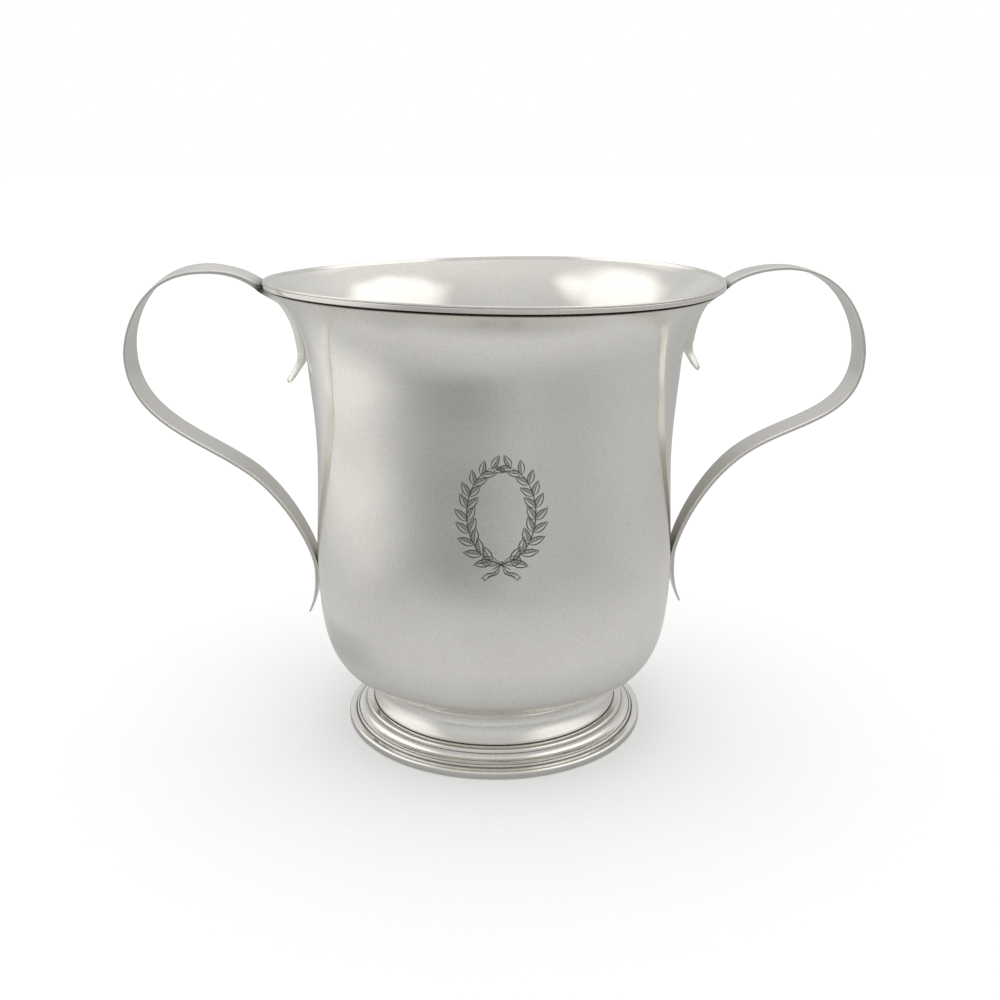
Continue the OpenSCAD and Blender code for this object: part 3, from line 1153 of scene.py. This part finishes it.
        line = np.concatenate([leg.points for leg in legs])
        normal = -right_of(np.concatenate([leg.slopes for leg in legs]))
        far = np.append(0.0, np.cumsum(np.linalg.norm(np.diff(line, axis=0), axis=1)))
        late = share_of(far / far[-1], self.taper_from, 1.0)
        sign, flat = float(self.side.value), np.zeros(len(line))
        mesh = bpy.data.meshes.new("strap_guide")
        places = np.stack([sign * line[:, 0], flat, line[:, 1]], axis=1)
        mesh.from_pydata((places * MM).tolist(), [(i, i + 1) for i in range(len(line) - 1)], [])
        store(mesh, "across_normal", np.stack([sign * normal[:, 0], flat, normal[:, 1]], axis=1))
        store(mesh, "wide", MM * (self.width + (self.low_width - self.width) * late))
        store(mesh, "thick", MM * fact("thick"))
        store(mesh, "seat", fact("seat", self.seat_power))
        store(mesh, "lean", fact("lean", self.lean_power))
        store(mesh, "bevel", fact("bevel"))
        store(mesh, "inner", fact("inner", self.dull_power))
        # Darker where the strap passes under the rim wire: painted shadow and reflection of the rim's
        # underside
        store(mesh, "dull", patina(line, [Groove(*self.rim_pass(), self.shape.rim_shade)]))
        return shown("strap_guide", mesh)


def strap_tree() -> Tree:
    """Geometry tree that sweeps a strap with soft edges along a guide line.

    Returns:
        The tree.
    """
    tree = new_tree("strap_sweep", "GeometryNodeTree", {
        "Guide": (Kind.OBJECT, None),
        "Stations": (Kind.INT, 300),
        "Section Points": (Kind.INT, 56),
        "Edge Radius": (Kind.FLOAT, 0.00034),
        "Edge Dullness": (Kind.FLOAT, 0.5),
        "Tip Length": (Kind.FLOAT, 0.004),
        "Unevenness": (Kind.FLOAT, 0.00005),
        "Material": (Kind.MATERIAL, None),
    }, {"Mesh": Kind.GEOMETRY})
    blunt = 1.02
    tip_width = 0.90
    corner_share = 0.42
    flat_across, flat_through = 1.6, 9.0
    rough_scale = 110.0
    inner_face, edge_band, no_slant = -0.8, 0.15, 0.01
    nodes = Nodes(tree)
    given = nodes.add("NodeGroupInput").outputs
    tube = nodes.first("GeometryNodeMeshCylinder", {
        "Vertices": given["Section Points"], "Side Segments": given["Stations"], "Radius": 1.0, "Depth": 1.0,
    }, fill_type="TRIANGLE_FAN")
    x, y, z = nodes.split(nodes.first("GeometryNodeInputPosition"))
    share = nodes.math("ADD", z, 0.5, clamp=True)
    line = nodes.first("GeometryNodeMeshToCurve", {"Mesh": nodes.shape(given["Guide"])})

    def along(name: str, kind: str = "FLOAT") -> Any:
        """Sampler of a fact of the guide line, at this share of its length, as its outputs."""
        sampler = nodes.add("GeometryNodeSampleCurve", {"Curves": line, "Factor": share}, mode="FACTOR",
                            data_type=kind, use_all_curves=True)
        nodes.feed(sampler.inputs["Value"], nodes.named(name, kind))
        return sampler.outputs

    course = along("across_normal", "FLOAT_VECTOR")
    middle = course["Position"]
    normal = nodes.first("ShaderNodeVectorMath", {0: course["Value"]}, operation="NORMALIZE")
    facts = ("seat", "lean", "thick", "wide", "bevel", "inner", "dull")
    seat, lean, thick, wide, slant, inner, dull = (nodes.number(along(name)["Value"]) for name in facts)

    # The section: thin and a little narrow at both tips, with round corners and a narrower outer face
    end = nodes.math("MINIMUM", share, 1.0 - share)
    near = 1.0 - nodes.math("DIVIDE", end, given["Tip Length"], clamp=True)
    tip = nodes.math("SQRT", blunt - near * near)
    thick = thick * tip
    width = wide * (tip * (1.0 - tip_width) + tip_width)
    corner = nodes.math("MINIMUM", thick * corner_share, given["Edge Radius"])

    def spread(axis: Number, size: Number, steep: float) -> Number:
        """Place along one side of the section: flat in the middle and round at the corners."""
        held = nodes.math("MINIMUM", nodes.math("MAXIMUM", axis * steep, -1.0), 1.0)
        return corner * axis + (size * 0.5 - corner) * held

    through = spread(y, thick, flat_through)
    level = through / thick
    outer = nodes.math("SIGN", slant) * level + 0.5
    across = spread(x, width, flat_across) * (1.0 - abs(slant) * outer)

    # The side towards the bowl follows its round, and the whole section leans
    sag = across * across * abs(nodes.split(normal)[0]) / (abs(nodes.split(middle)[0]) * 2.0)
    facing = nodes.math("SIGN", seat) * level + 0.5
    rough = (nodes.noise(middle, rough_scale, 1.0) - 0.5) * given["Unevenness"]
    depth = sag * seat * facing + through + rough
    cos, sin = nodes.math("COSINE", lean), nodes.math("SINE", lean)
    aside = nodes.combine(y=across * cos - depth * sin)
    spot = nodes.plus(nodes.plus(middle, aside), nodes.scaled(normal, across * sin + depth * cos))

    # Dull on the inner face and on the two edges, but for the edges of the narrower stretch
    inner = (y < inner_face) * inner
    edge = (abs(y) < edge_band) * (abs(slant) < no_slant) * given["Edge Dullness"]
    worn = nodes.first("GeometryNodeStoreNamedAttribute", {
        "Geometry": tube, "Name": "patina", "Value": nodes.math("MAXIMUM", dull, inner + edge),
    }, data_type="FLOAT", domain="POINT")
    moved = nodes.first("GeometryNodeSetPosition", {"Geometry": worn, "Position": spot})
    nodes.end_mesh(moved, given["Material"])
    return tree


@dataclass
class Handle:
    """A strap handle."""

    form: Form
    side: Side

    @property
    def node(self) -> str:
        """Name of the solid that the strap stands for."""
        return f"{self.side.name.lower()}_handle"

    def build(self, tree: Tree, material: Material) -> Object:
        """Sweeps the strap along its line.

        Args:
            tree: The tree that sweeps.
            material: The strap's silver.

        Returns:
            The strap.
        """
        name = f"{self.node}_strap"
        guide = StrapPath(self.form, self.side).guide()
        mesh = grown(name, tree, {"Guide": guide, "Material": material})
        bpy.data.objects.remove(guide)
        return shown(name, finished(mesh))

    def dress(self, obj: Object) -> None:
        """Gives the strap its place."""
        place(obj, Slot.STRAP, self.node)


@dataclass(frozen=True)
class Stroke:
    """Cut line in the plane of the engraving: its course in millimetres and its width in the middle."""

    course: tuple[Pair, ...]
    width: float
    end_share: float = 0.35

    def ribbon(self, steps: int) -> tuple[Array, Faces]:
        """Flat ribbon that narrows to both ends.

        Args:
            steps: Number of faces along the ribbon.

        Returns:
            Points (across, 0, up) in millimetres and the faces between them.
        """
        knots = np.array(self.course)
        t = np.linspace(0.0, len(knots) - 1.0, steps + 1)
        k = np.minimum(t.astype(int), len(knots) - 2)
        f = (t - k)[:, None]
        ends = np.concatenate([[2 * knots[0] - knots[1]], knots, [2 * knots[-1] - knots[-2]]])
        a, b, c, d = ends[k], ends[k + 1], ends[k + 2], ends[k + 3]
        square, cube = 2 * a - 5 * b + 4 * c - d, 3 * b - a - 3 * c + d
        line = 0.5 * (2 * b + (c - a) * f + square * f**2 + cube * f**3)
        aside = right_of(np.gradient(line, axis=0))
        aside /= np.linalg.norm(aside, axis=1, keepdims=True)
        bulge = np.sin(np.pi * np.linspace(0.0, 1.0, steps + 1))[:, None]
        swell = self.width / 2 * (self.end_share + (1.0 - self.end_share) * bulge)
        both = np.concatenate([line - swell * aside, line + swell * aside])
        points = np.stack([both[:, 0], np.zeros(len(both)), both[:, 1]], axis=1)
        n = steps + 1
        return points, [(i, i + 1, n + i + 1, n + i) for i in range(steps)]


def cut_lines(name: str, strokes: list[Stroke], steps: int) -> Object:
    """Ribbons of several strokes, flat in the plane of the engraving.

    Args:
        name: Name of the object.
        strokes: The strokes.
        steps: Number of faces along each ribbon.

    Returns:
        An object with all ribbons.
    """
    points: list[Array] = []
    faces: Faces = []
    count = 0
    for stroke in strokes:
        more, quads = stroke.ribbon(steps)
        faces += [tuple(count + i for i in quad) for quad in quads]
        points.append(more)
        count += len(more)
    mesh = bpy.data.meshes.new(name)
    mesh.from_pydata((np.concatenate(points) * MM).tolist(), [], faces)
    return shown(name, mesh)


def wreath_tree() -> Tree:
    """Geometry tree that sets leaf pairs along branches and lays all lines on the bowl.

    Returns:
        The tree.
    """
    tree = new_tree("wreath", "GeometryNodeTree", {
        "Branches": (Kind.OBJECT, None),
        "Leaf": (Kind.OBJECT, None),
        "Ties": (Kind.OBJECT, None),
        "Bowl": (Kind.OBJECT, None),
        "Leaves": (Kind.INT, 10),
        "Spread": (Kind.FLOAT, 0.62),
        "Place": (Kind.VECTOR, (0.0016, -0.08, 0.0712)),
        "Ray Length": (Kind.FLOAT, 0.2),
        "Lift": (Kind.FLOAT, 0.00002),
        "Material": (Kind.MATERIAL, None),
    }, {"Mesh": Kind.GEOMETRY})
    seeds = (3, 8)
    looseness = 0.12
    leaf_sizes = (-0.014, 0.014, 1.05, 0.8)
    nodes = Nodes(tree)
    given = nodes.add("NodeGroupInput").outputs
    line = nodes.first("GeometryNodeMeshToCurve", {"Mesh": nodes.shape(given["Branches"])})
    dots = nodes.add("GeometryNodeCurveToPoints", {
        "Curve": line, "Count": given["Leaves"]}, mode="COUNT").outputs
    along = nodes.first("FunctionNodeAlignRotationToVector", {
        "Vector": dots["Tangent"]}, axis="X", pivot_axis="Y")
    height = nodes.split(nodes.first("GeometryNodeInputPosition"))[2]
    joined = nodes.add("GeometryNodeJoinGeometry")
    nodes.feed(joined.inputs[0], nodes.shape(given["Ties"]))
    for hand, seed in zip(HANDS, seeds):
        jitter = nodes.add("FunctionNodeRandomValue", data_type="FLOAT")
        for key, value in (("Min", -looseness), ("Max", looseness), ("Seed", seed)):
            nodes.feed(next(k for k in jitter.inputs if k.name == key and k.enabled), value)
        loose = nodes.number(next(k for k in jitter.outputs if k.enabled))
        spin = nodes.first("FunctionNodeAxisAngleToRotation", {
            "Axis": (0.0, 1.0, 0.0), "Angle": (loose + given["Spread"]) * hand})
        turned_by = nodes.first("FunctionNodeRotateRotation", {
            "Rotation": along, "Rotate By": spin}, rotation_space="LOCAL")
        size = nodes.remap(height, *leaf_sizes, smooth=False)
        leaves = nodes.first("GeometryNodeInstanceOnPoints", {
            "Points": dots["Points"], "Instance": nodes.shape(given["Leaf"]), "Rotation": turned_by,
            "Scale": nodes.combine(size, size, size * hand)})
        nodes.feed(joined.inputs[0], leaves)
    flat = nodes.first("GeometryNodeRealizeInstances", {"Geometry": joined.outputs[0]})
    ground = nodes.first("GeometryNodeTransform", {"Geometry": flat, "Translation": given["Place"]})
    hit = nodes.add("GeometryNodeRaycast", {
        "Target Geometry": nodes.shape(given["Bowl"]), "Ray Direction": (0.0, 1.0, 0.0),
        "Ray Length": given["Ray Length"]}).outputs
    spot = nodes.plus(hit["Hit Position"], nodes.scaled(hit["Hit Normal"], given["Lift"]))
    laid = nodes.first("GeometryNodeSetPosition", {"Geometry": ground, "Position": spot})
    nodes.end_mesh(laid, given["Material"])
    return tree


@dataclass
class Engraving:
    """Bright-cut oval wreath tied with a ribbon, on the front of the bowl."""

    half_width: float = 7.9
    half_height: float = 11.6
    leaf: float = 4.2
    leaf_half_width: float = 0.21
    line: float = 0.30
    stem_arc: tuple[float, float, int] = (-82.0, 76.0, 14)
    branch_arc: tuple[float, float, int] = (-74.0, 74.0, 60)
    leaf_steps: int = 5
    tie_steps: int = 26
    name: str = "bowl_engraving"

    def arc(self, hand: float, start: float, end: float, count: int) -> list[Pair]:
        """Points on one side of the oval, between two angles in degrees."""
        angles = np.radians(np.linspace(start, end, count))
        return [(hand * self.half_width * math.cos(a), self.half_height * math.sin(a)) for a in angles]

    def leaf_strokes(self) -> list[Stroke]:
        """A leaf's two edges, its rib and the shading of one half.

        Returns:
            The strokes, with the leaf along the first axis.
        """
        n, w = self.leaf, self.leaf_half_width * self.leaf
        edge = [(0.0, 0.0), (0.22 * n, 0.8 * w), (0.5 * n, w), (0.8 * n, 0.5 * w), (n, 0.0)]
        strokes = [Stroke(tuple((u, hand * v) for u, v in edge), self.line) for hand in HANDS]
        strokes.append(Stroke(((0.0, 0.0), (0.5 * n, 0.06 * w), (0.92 * n, 0.0)), 0.7 * self.line))
        for share in (0.16, 0.26, 0.36, 0.46, 0.56, 0.66, 0.76):
            deep = w * math.sin(math.pi * min(1.0, share + 0.1))
            strokes.append(Stroke(((share * n, 0.02), ((share + 0.10) * n, 0.85 * deep)), 0.6 * self.line))
        return strokes

    def tie_strokes(self) -> list[Stroke]:
        """The stems' crossing, and a ribbon with two loops and two ends.

        Returns:
            The strokes. Their courses are drawn from the knot, and the right half is repeated on the left.
        """
        loop = ((0.0, 0.0), (2.2, 1.7), (4.1, 1.5), (4.3, 0.1), (2.4, -0.5), (0.0, 0.0))
        inner = ((0.5, 0.1), (2.2, 1.1), (3.5, 1.0), (3.6, 0.3), (2.2, -0.1), (0.5, 0.0))
        tail = ((0.2, -0.2), (1.5, -2.0), (3.2, -2.4), (4.6, -3.5))
        under = ((0.2, -0.3), (0.9, -2.3), (2.7, -3.1), (3.9, -4.2))
        notch = ((4.6, -3.5), (4.0, -3.6), (3.9, -4.2))
        stem = ((-2.2, -1.5), (-0.4, -0.4), (1.6, 0.4), (3.2, 1.1))
        knot = ((-0.5, 0.1), (0.0, 0.55), (0.5, 0.1), (0.0, -0.45), (-0.5, 0.1))
        half = [(loop, 1.0), (inner, 0.7), (tail, 1.0), (under, 1.0), (notch, 0.8), (stem, 1.1)]
        for share in (0.2, 0.4, 0.6, 0.8):
            u, v = 1.1 + 2.6 * share, -1.4 - 1.6 * share
            half.append((((u, v), (u - 0.5, v - 0.8)), 0.6))
        low = -self.half_height
        strokes = [Stroke(tuple((hand * u, low + v) for u, v in course), width * self.line)
                   for hand in HANDS for course, width in half]
        return strokes + [Stroke(tuple((u, low + v) for u, v in knot), self.line)]

    def stem_strokes(self) -> list[Stroke]:
        """The two branches themselves."""
        return [Stroke(tuple(self.arc(hand, *self.stem_arc)), self.line) for hand in HANDS]

    def branches(self) -> Object:
        """Guide lines of the two branches, from the tie up to the open top.

        Returns:
            An object with both lines.
        """
        points: list[tuple[float, float, float]] = []
        edges: list[tuple[int, int]] = []
        for hand in HANDS:
            start = len(points)
            points += [(u * MM, 0.0, v * MM) for u, v in self.arc(hand, *self.branch_arc)]
            edges += [(i, i + 1) for i in range(start, len(points) - 1)]
        mesh = bpy.data.meshes.new("branch_guide")
        mesh.from_pydata(points, edges, [])
        return shown("branch_guide", mesh)

    def build(self, bowl: Object, material: Material) -> Object:
        """Lays the wreath on the bowl.

        Args:
            bowl: The bowl.
            material: Dark silver for the cuts, tarnish and painted shade of their depth.

        Returns:
            The wreath.
        """
        leaf = cut_lines("leaf_lines", self.leaf_strokes(), self.leaf_steps)
        ties = cut_lines("tie_lines", self.tie_strokes() + self.stem_strokes(), self.tie_steps)
        guide = self.branches()
        mesh = grown(self.name, wreath_tree(), {
            "Branches": guide, "Leaf": leaf, "Ties": ties, "Bowl": bowl, "Material": material})
        for helper in (leaf, ties, guide):
            bpy.data.objects.remove(helper)
        return shown(self.name, finished(mesh))

    def dress(self, obj: Object) -> None:
        """Gives the wreath its place."""
        place(obj, Slot.BOWL)


# Studio and camera


@dataclass(frozen=True)
class Glow:
    """Bright or dark field of the studio.

    Its azimuth is in degrees, 0 at the front and 90 at the right. Its other place is an elevation in
    degrees, or a distance on the floor in millimetres.
    """

    azimuth: float
    place: float
    half_width: float
    half_height: float
    gain: float
    soft: float = 0.45
    squareness: float = 3.0

    def lit(self, nodes: Nodes, azimuth: Number, place: Number, light: Number) -> Number:
        """Adds the field to a light level.

        Args:
            nodes: Tree to work in.
            azimuth: Azimuth of the spot looked at.
            place: Its elevation or distance.
            light: Level without this field.

        Returns:
            The level with it.
        """
        wide = abs(nodes.math("WRAP", azimuth - self.azimuth, 180.0, -180.0)) / self.half_width
        tall = abs(place - self.place) / self.half_height
        far = (wide**self.squareness + tall**self.squareness) ** (1.0 / self.squareness)
        return nodes.remap(far, 1.0 - self.soft, 1.0, 1.0, 0.0) * self.gain + light


def graded(nodes: Nodes, value: Number, levels: tuple[Pair, ...]) -> Number:
    """Light level that follows a value.

    Args:
        nodes: Tree to work in.
        value: The value to follow.
        levels: Values in rising order, each with its level.

    Returns:
        The level between the two nearest ones given.
    """
    low, high = levels[0][0], levels[-1][0]
    ramp = nodes.add("ShaderNodeValToRGB", {0: nodes.remap(value, low, high, smooth=False)})
    stops = ramp.color_ramp.elements
    while len(stops) < len(levels):
        stops.new(0.5)
    for stop, (spot, level) in zip(stops, levels):
        stop.position = (spot - low) / (high - low)
        stop.color = (level, level, level, 1.0)
    return nodes.split(ramp.outputs[0])[0]


@dataclass(frozen=True)
class Studio:
    """Pale floor, plain surroundings and the photograph's camera.

    Camera places and distances on the floor are in millimetres, and the floor's half size is in metres.
    """

    camera_y: float = -301.0
    camera_z: float = 151.65
    pitch: float = 16.78
    sensor: float = 36.0
    focal_px: float = 1174.0
    frame_px: float = 1000.0
    axis_px: float = 494.3
    clip_start: float = 0.01
    floor_half: float = 6.0
    floor_gain: float = 1.2
    paper_scale: float = 900.0
    paper_shades: tuple[float, float, float, float] = (0.3, 0.7, 0.955, 0.97)
    levels: tuple[Pair, ...] = ((-90.0, 0.50), (0.0, 0.50), (20.0, 0.61), (50.0, 0.66), (90.0, 0.75))
    glows: tuple[Glow, ...] = (
        Glow(-95.0, 36.0, 50.0, 35.0, 0.46), Glow(74.0, 37.0, 51.0, 34.0, 0.47),
        Glow(-108.0, 40.0, 62.0, 38.0, 0.10, 0.9), Glow(112.0, 50.0, 85.0, 48.0, 0.14, 0.9),
        Glow(-92.0, -4.0, 50.0, 30.0, 0.30, 0.9), Glow(180.0, 3.0, 70.0, 9.0, 0.08, 0.7),
        Glow(-163.0, 18.0, 30.0, 12.0, 0.10, 0.8), Glow(180.0, 57.0, 38.0, 25.0, 0.65, 0.35))
    # Levels at which the floor glows in reflections, by distance from the axis; the low levels by the foot
    # are a painted contact shadow
    floor_levels: tuple[Pair, ...] = (
        (0.0, 0.30), (42.0, 0.36), (47.0, 0.46), (60.0, 0.53), (85.0, 0.61), (115.0, 0.60), (210.0, 0.50),
        (270.0, 0.47), (700.0, 0.47))
    # The negative fields are painted shade on the glowing floor: a dark patch in front and one by the left of
    # the foot
    floor_glows: tuple[Glow, ...] = (
        Glow(-96.0, 700.0, 60.0, 640.0, 0.35, 0.7), Glow(-100.0, 300.0, 52.0, 150.0, 0.12, 0.8),
        Glow(-20.0, 290.0, 40.0, 120.0, -0.125, 0.95), Glow(-30.0, 700.0, 30.0, 480.0, -0.06, 0.95),
        Glow(-95.0, 80.0, 45.0, 28.0, -0.11, 0.8), Glow(95.0, 330.0, 50.0, 280.0, 0.06, 0.8))

    def camera(self) -> None:
        """Sets the camera where the photograph was taken."""
        lens = bpy.data.cameras.new("camera")
        lens.sensor_width = self.sensor
        lens.lens = self.sensor * self.focal_px / self.frame_px
        lens.shift_x = 0.5 - self.axis_px / self.frame_px
        lens.clip_start = self.clip_start
        obj = bpy.data.objects.new("camera", lens)
        obj.location = (0.0, self.camera_y * MM, self.camera_z * MM)
        obj.rotation_euler = (math.radians(90.0 - self.pitch), 0.0, 0.0)
        bpy.context.scene.collection.objects.link(obj)
        bpy.context.scene.camera = obj

    def floor(self) -> None:
        """Lays a pale floor that keeps the cup's shadow; to reflected rays it glows instead, a soft grey with
        painted shade near the foot and in front.
        """
        half = self.floor_half
        corners = [(-half, -half, 0), (half, -half, 0), (half, half, 0), (-half, half, 0)]
        mesh = bpy.data.meshes.new("floor")
        mesh.from_pydata(corners, [], [(0, 1, 2, 3)])
        obj = shown("floor", mesh)
        material = bpy.data.materials.new("pale_floor")
        material.use_nodes = True
        nodes = Nodes(material.node_tree)
        shader = material.node_tree.nodes["Principled BSDF"]
        spot = nodes.add("ShaderNodeTexCoord").outputs["Object"]
        shade = nodes.remap(nodes.noise(spot, self.paper_scale, 3.0), *self.paper_shades)
        nodes.feed(shader.inputs["Base Color"], nodes.grey(shade))
        nodes.feed(shader.inputs["Roughness"], 0.9)
        nodes.feed(shader.inputs["Specular IOR Level"], 0.0)
        x, y, _ = nodes.split(spot)
        reach = nodes.math("MINIMUM", nodes.reach(x, y) / MM, self.floor_levels[-1][0])
        azimuth = nodes.azimuth(x, y)
        light = graded(nodes, reach, self.floor_levels)
        for glow in self.floor_glows:
            light = glow.lit(nodes, azimuth, reach, light)
        painted_table_glow = nodes.first("ShaderNodeEmission", {"Color": nodes.grey(light)})
        mirrored = nodes.add("ShaderNodeLightPath").outputs["Is Glossy Ray"]
        both = nodes.first("ShaderNodeMixShader", {0: mirrored, 1: shader.outputs[0], 2: painted_table_glow})
        nodes.feed(material.node_tree.nodes["Material Output"].inputs["Surface"], both)
        material.cycles.emission_sampling = "NONE"
        mesh.materials.append(material)

    def world(self) -> None:
        """Surroundings: white to the camera, even on the floor, a soft studio in the silver."""
        world = bpy.data.worlds.new("studio")
        bpy.context.scene.world = world
        world.use_nodes = True
        world.node_tree.nodes.clear()
        nodes = Nodes(world.node_tree)
        x, y, z = nodes.split(nodes.add("ShaderNodeTexCoord").outputs["Generated"])
        azimuth, elevation = nodes.azimuth(x, y), nodes.math("ARCSINE", z) * RADIAN
        light = graded(nodes, elevation, self.levels)
        for glow in self.glows:
            light = glow.lit(nodes, azimuth, elevation, light)
        path = nodes.add("ShaderNodeLightPath").outputs
        even = (self.floor_gain - light) * path["Is Diffuse Ray"] + light
        seen = (1.0 - even) * path["Is Camera Ray"] + even
        back = nodes.first("ShaderNodeBackground", {"Color": nodes.grey(seen), "Strength": 1.0})
        nodes.add("ShaderNodeOutputWorld", {"Surface": back})

    def build(self) -> None:
        """Sets up the camera, the floor and the surroundings."""
        bpy.context.scene.view_settings.view_transform = "Standard"
        self.camera()
        self.floor()
        self.world()


def main() -> None:
    """Builds the studio and the cup in order."""
    logging.basicConfig(level=logging.INFO, format="%(name)s %(message)s")
    Studio().build()
    form, wavy = Form(), Unevenness()
    wear = SilverWear().tree()
    grey_tarnish = (0.36, 0.35, 0.325)
    finishes = {
        Slot.BOWL: SilverFinish("silver_bowl", dull_rough=2.2),
        Slot.WIRE: SilverFinish("silver_wire", tarnish=grey_tarnish, rings=0.5),
        Slot.FOOT: SilverFinish("silver_foot", tarnish=grey_tarnish, rings=1.0, bump=0.08, dull_rough=0.6),
        Slot.STRAP: SilverFinish("silver_strap", tarnish=(0.26, 0.25, 0.23), polish=0.07, haze=0.15,
                                 scratch=0.8, dull_rough=0.8),
    }
    silver = {slot: finish.material(wear) for slot, finish in finishes.items()}
    # The cuts are dark ribbons on the surface: tarnish in the lines and painted shade of their depth
    cut_tarnish_and_shade = SilverFinish("silver_cut", color=(0.13, 0.125, 0.115), polish=0.25, haze=0.4).material(wear)

    bowl = Bowl(form, wavy)
    bowl_obj = bowl.build()
    bowl.dress(bowl_obj, silver[Slot.BOWL])
    engraving = Engraving()
    engraving.dress(engraving.build(bowl_obj, cut_tarnish_and_shade))
    mouldings = Mouldings(form)
    for ring in (mouldings.rim(), mouldings.bead(), mouldings.collar(), mouldings.flange(), mouldings.base()):
        ring.dress(ring.build(form, wavy), silver[ring.slot])
    sweep = strap_tree()
    for side in Side:
        handle = Handle(form, side)
        handle.dress(handle.build(sweep, silver[Slot.STRAP]))


if __name__ == "__main__":
    main()
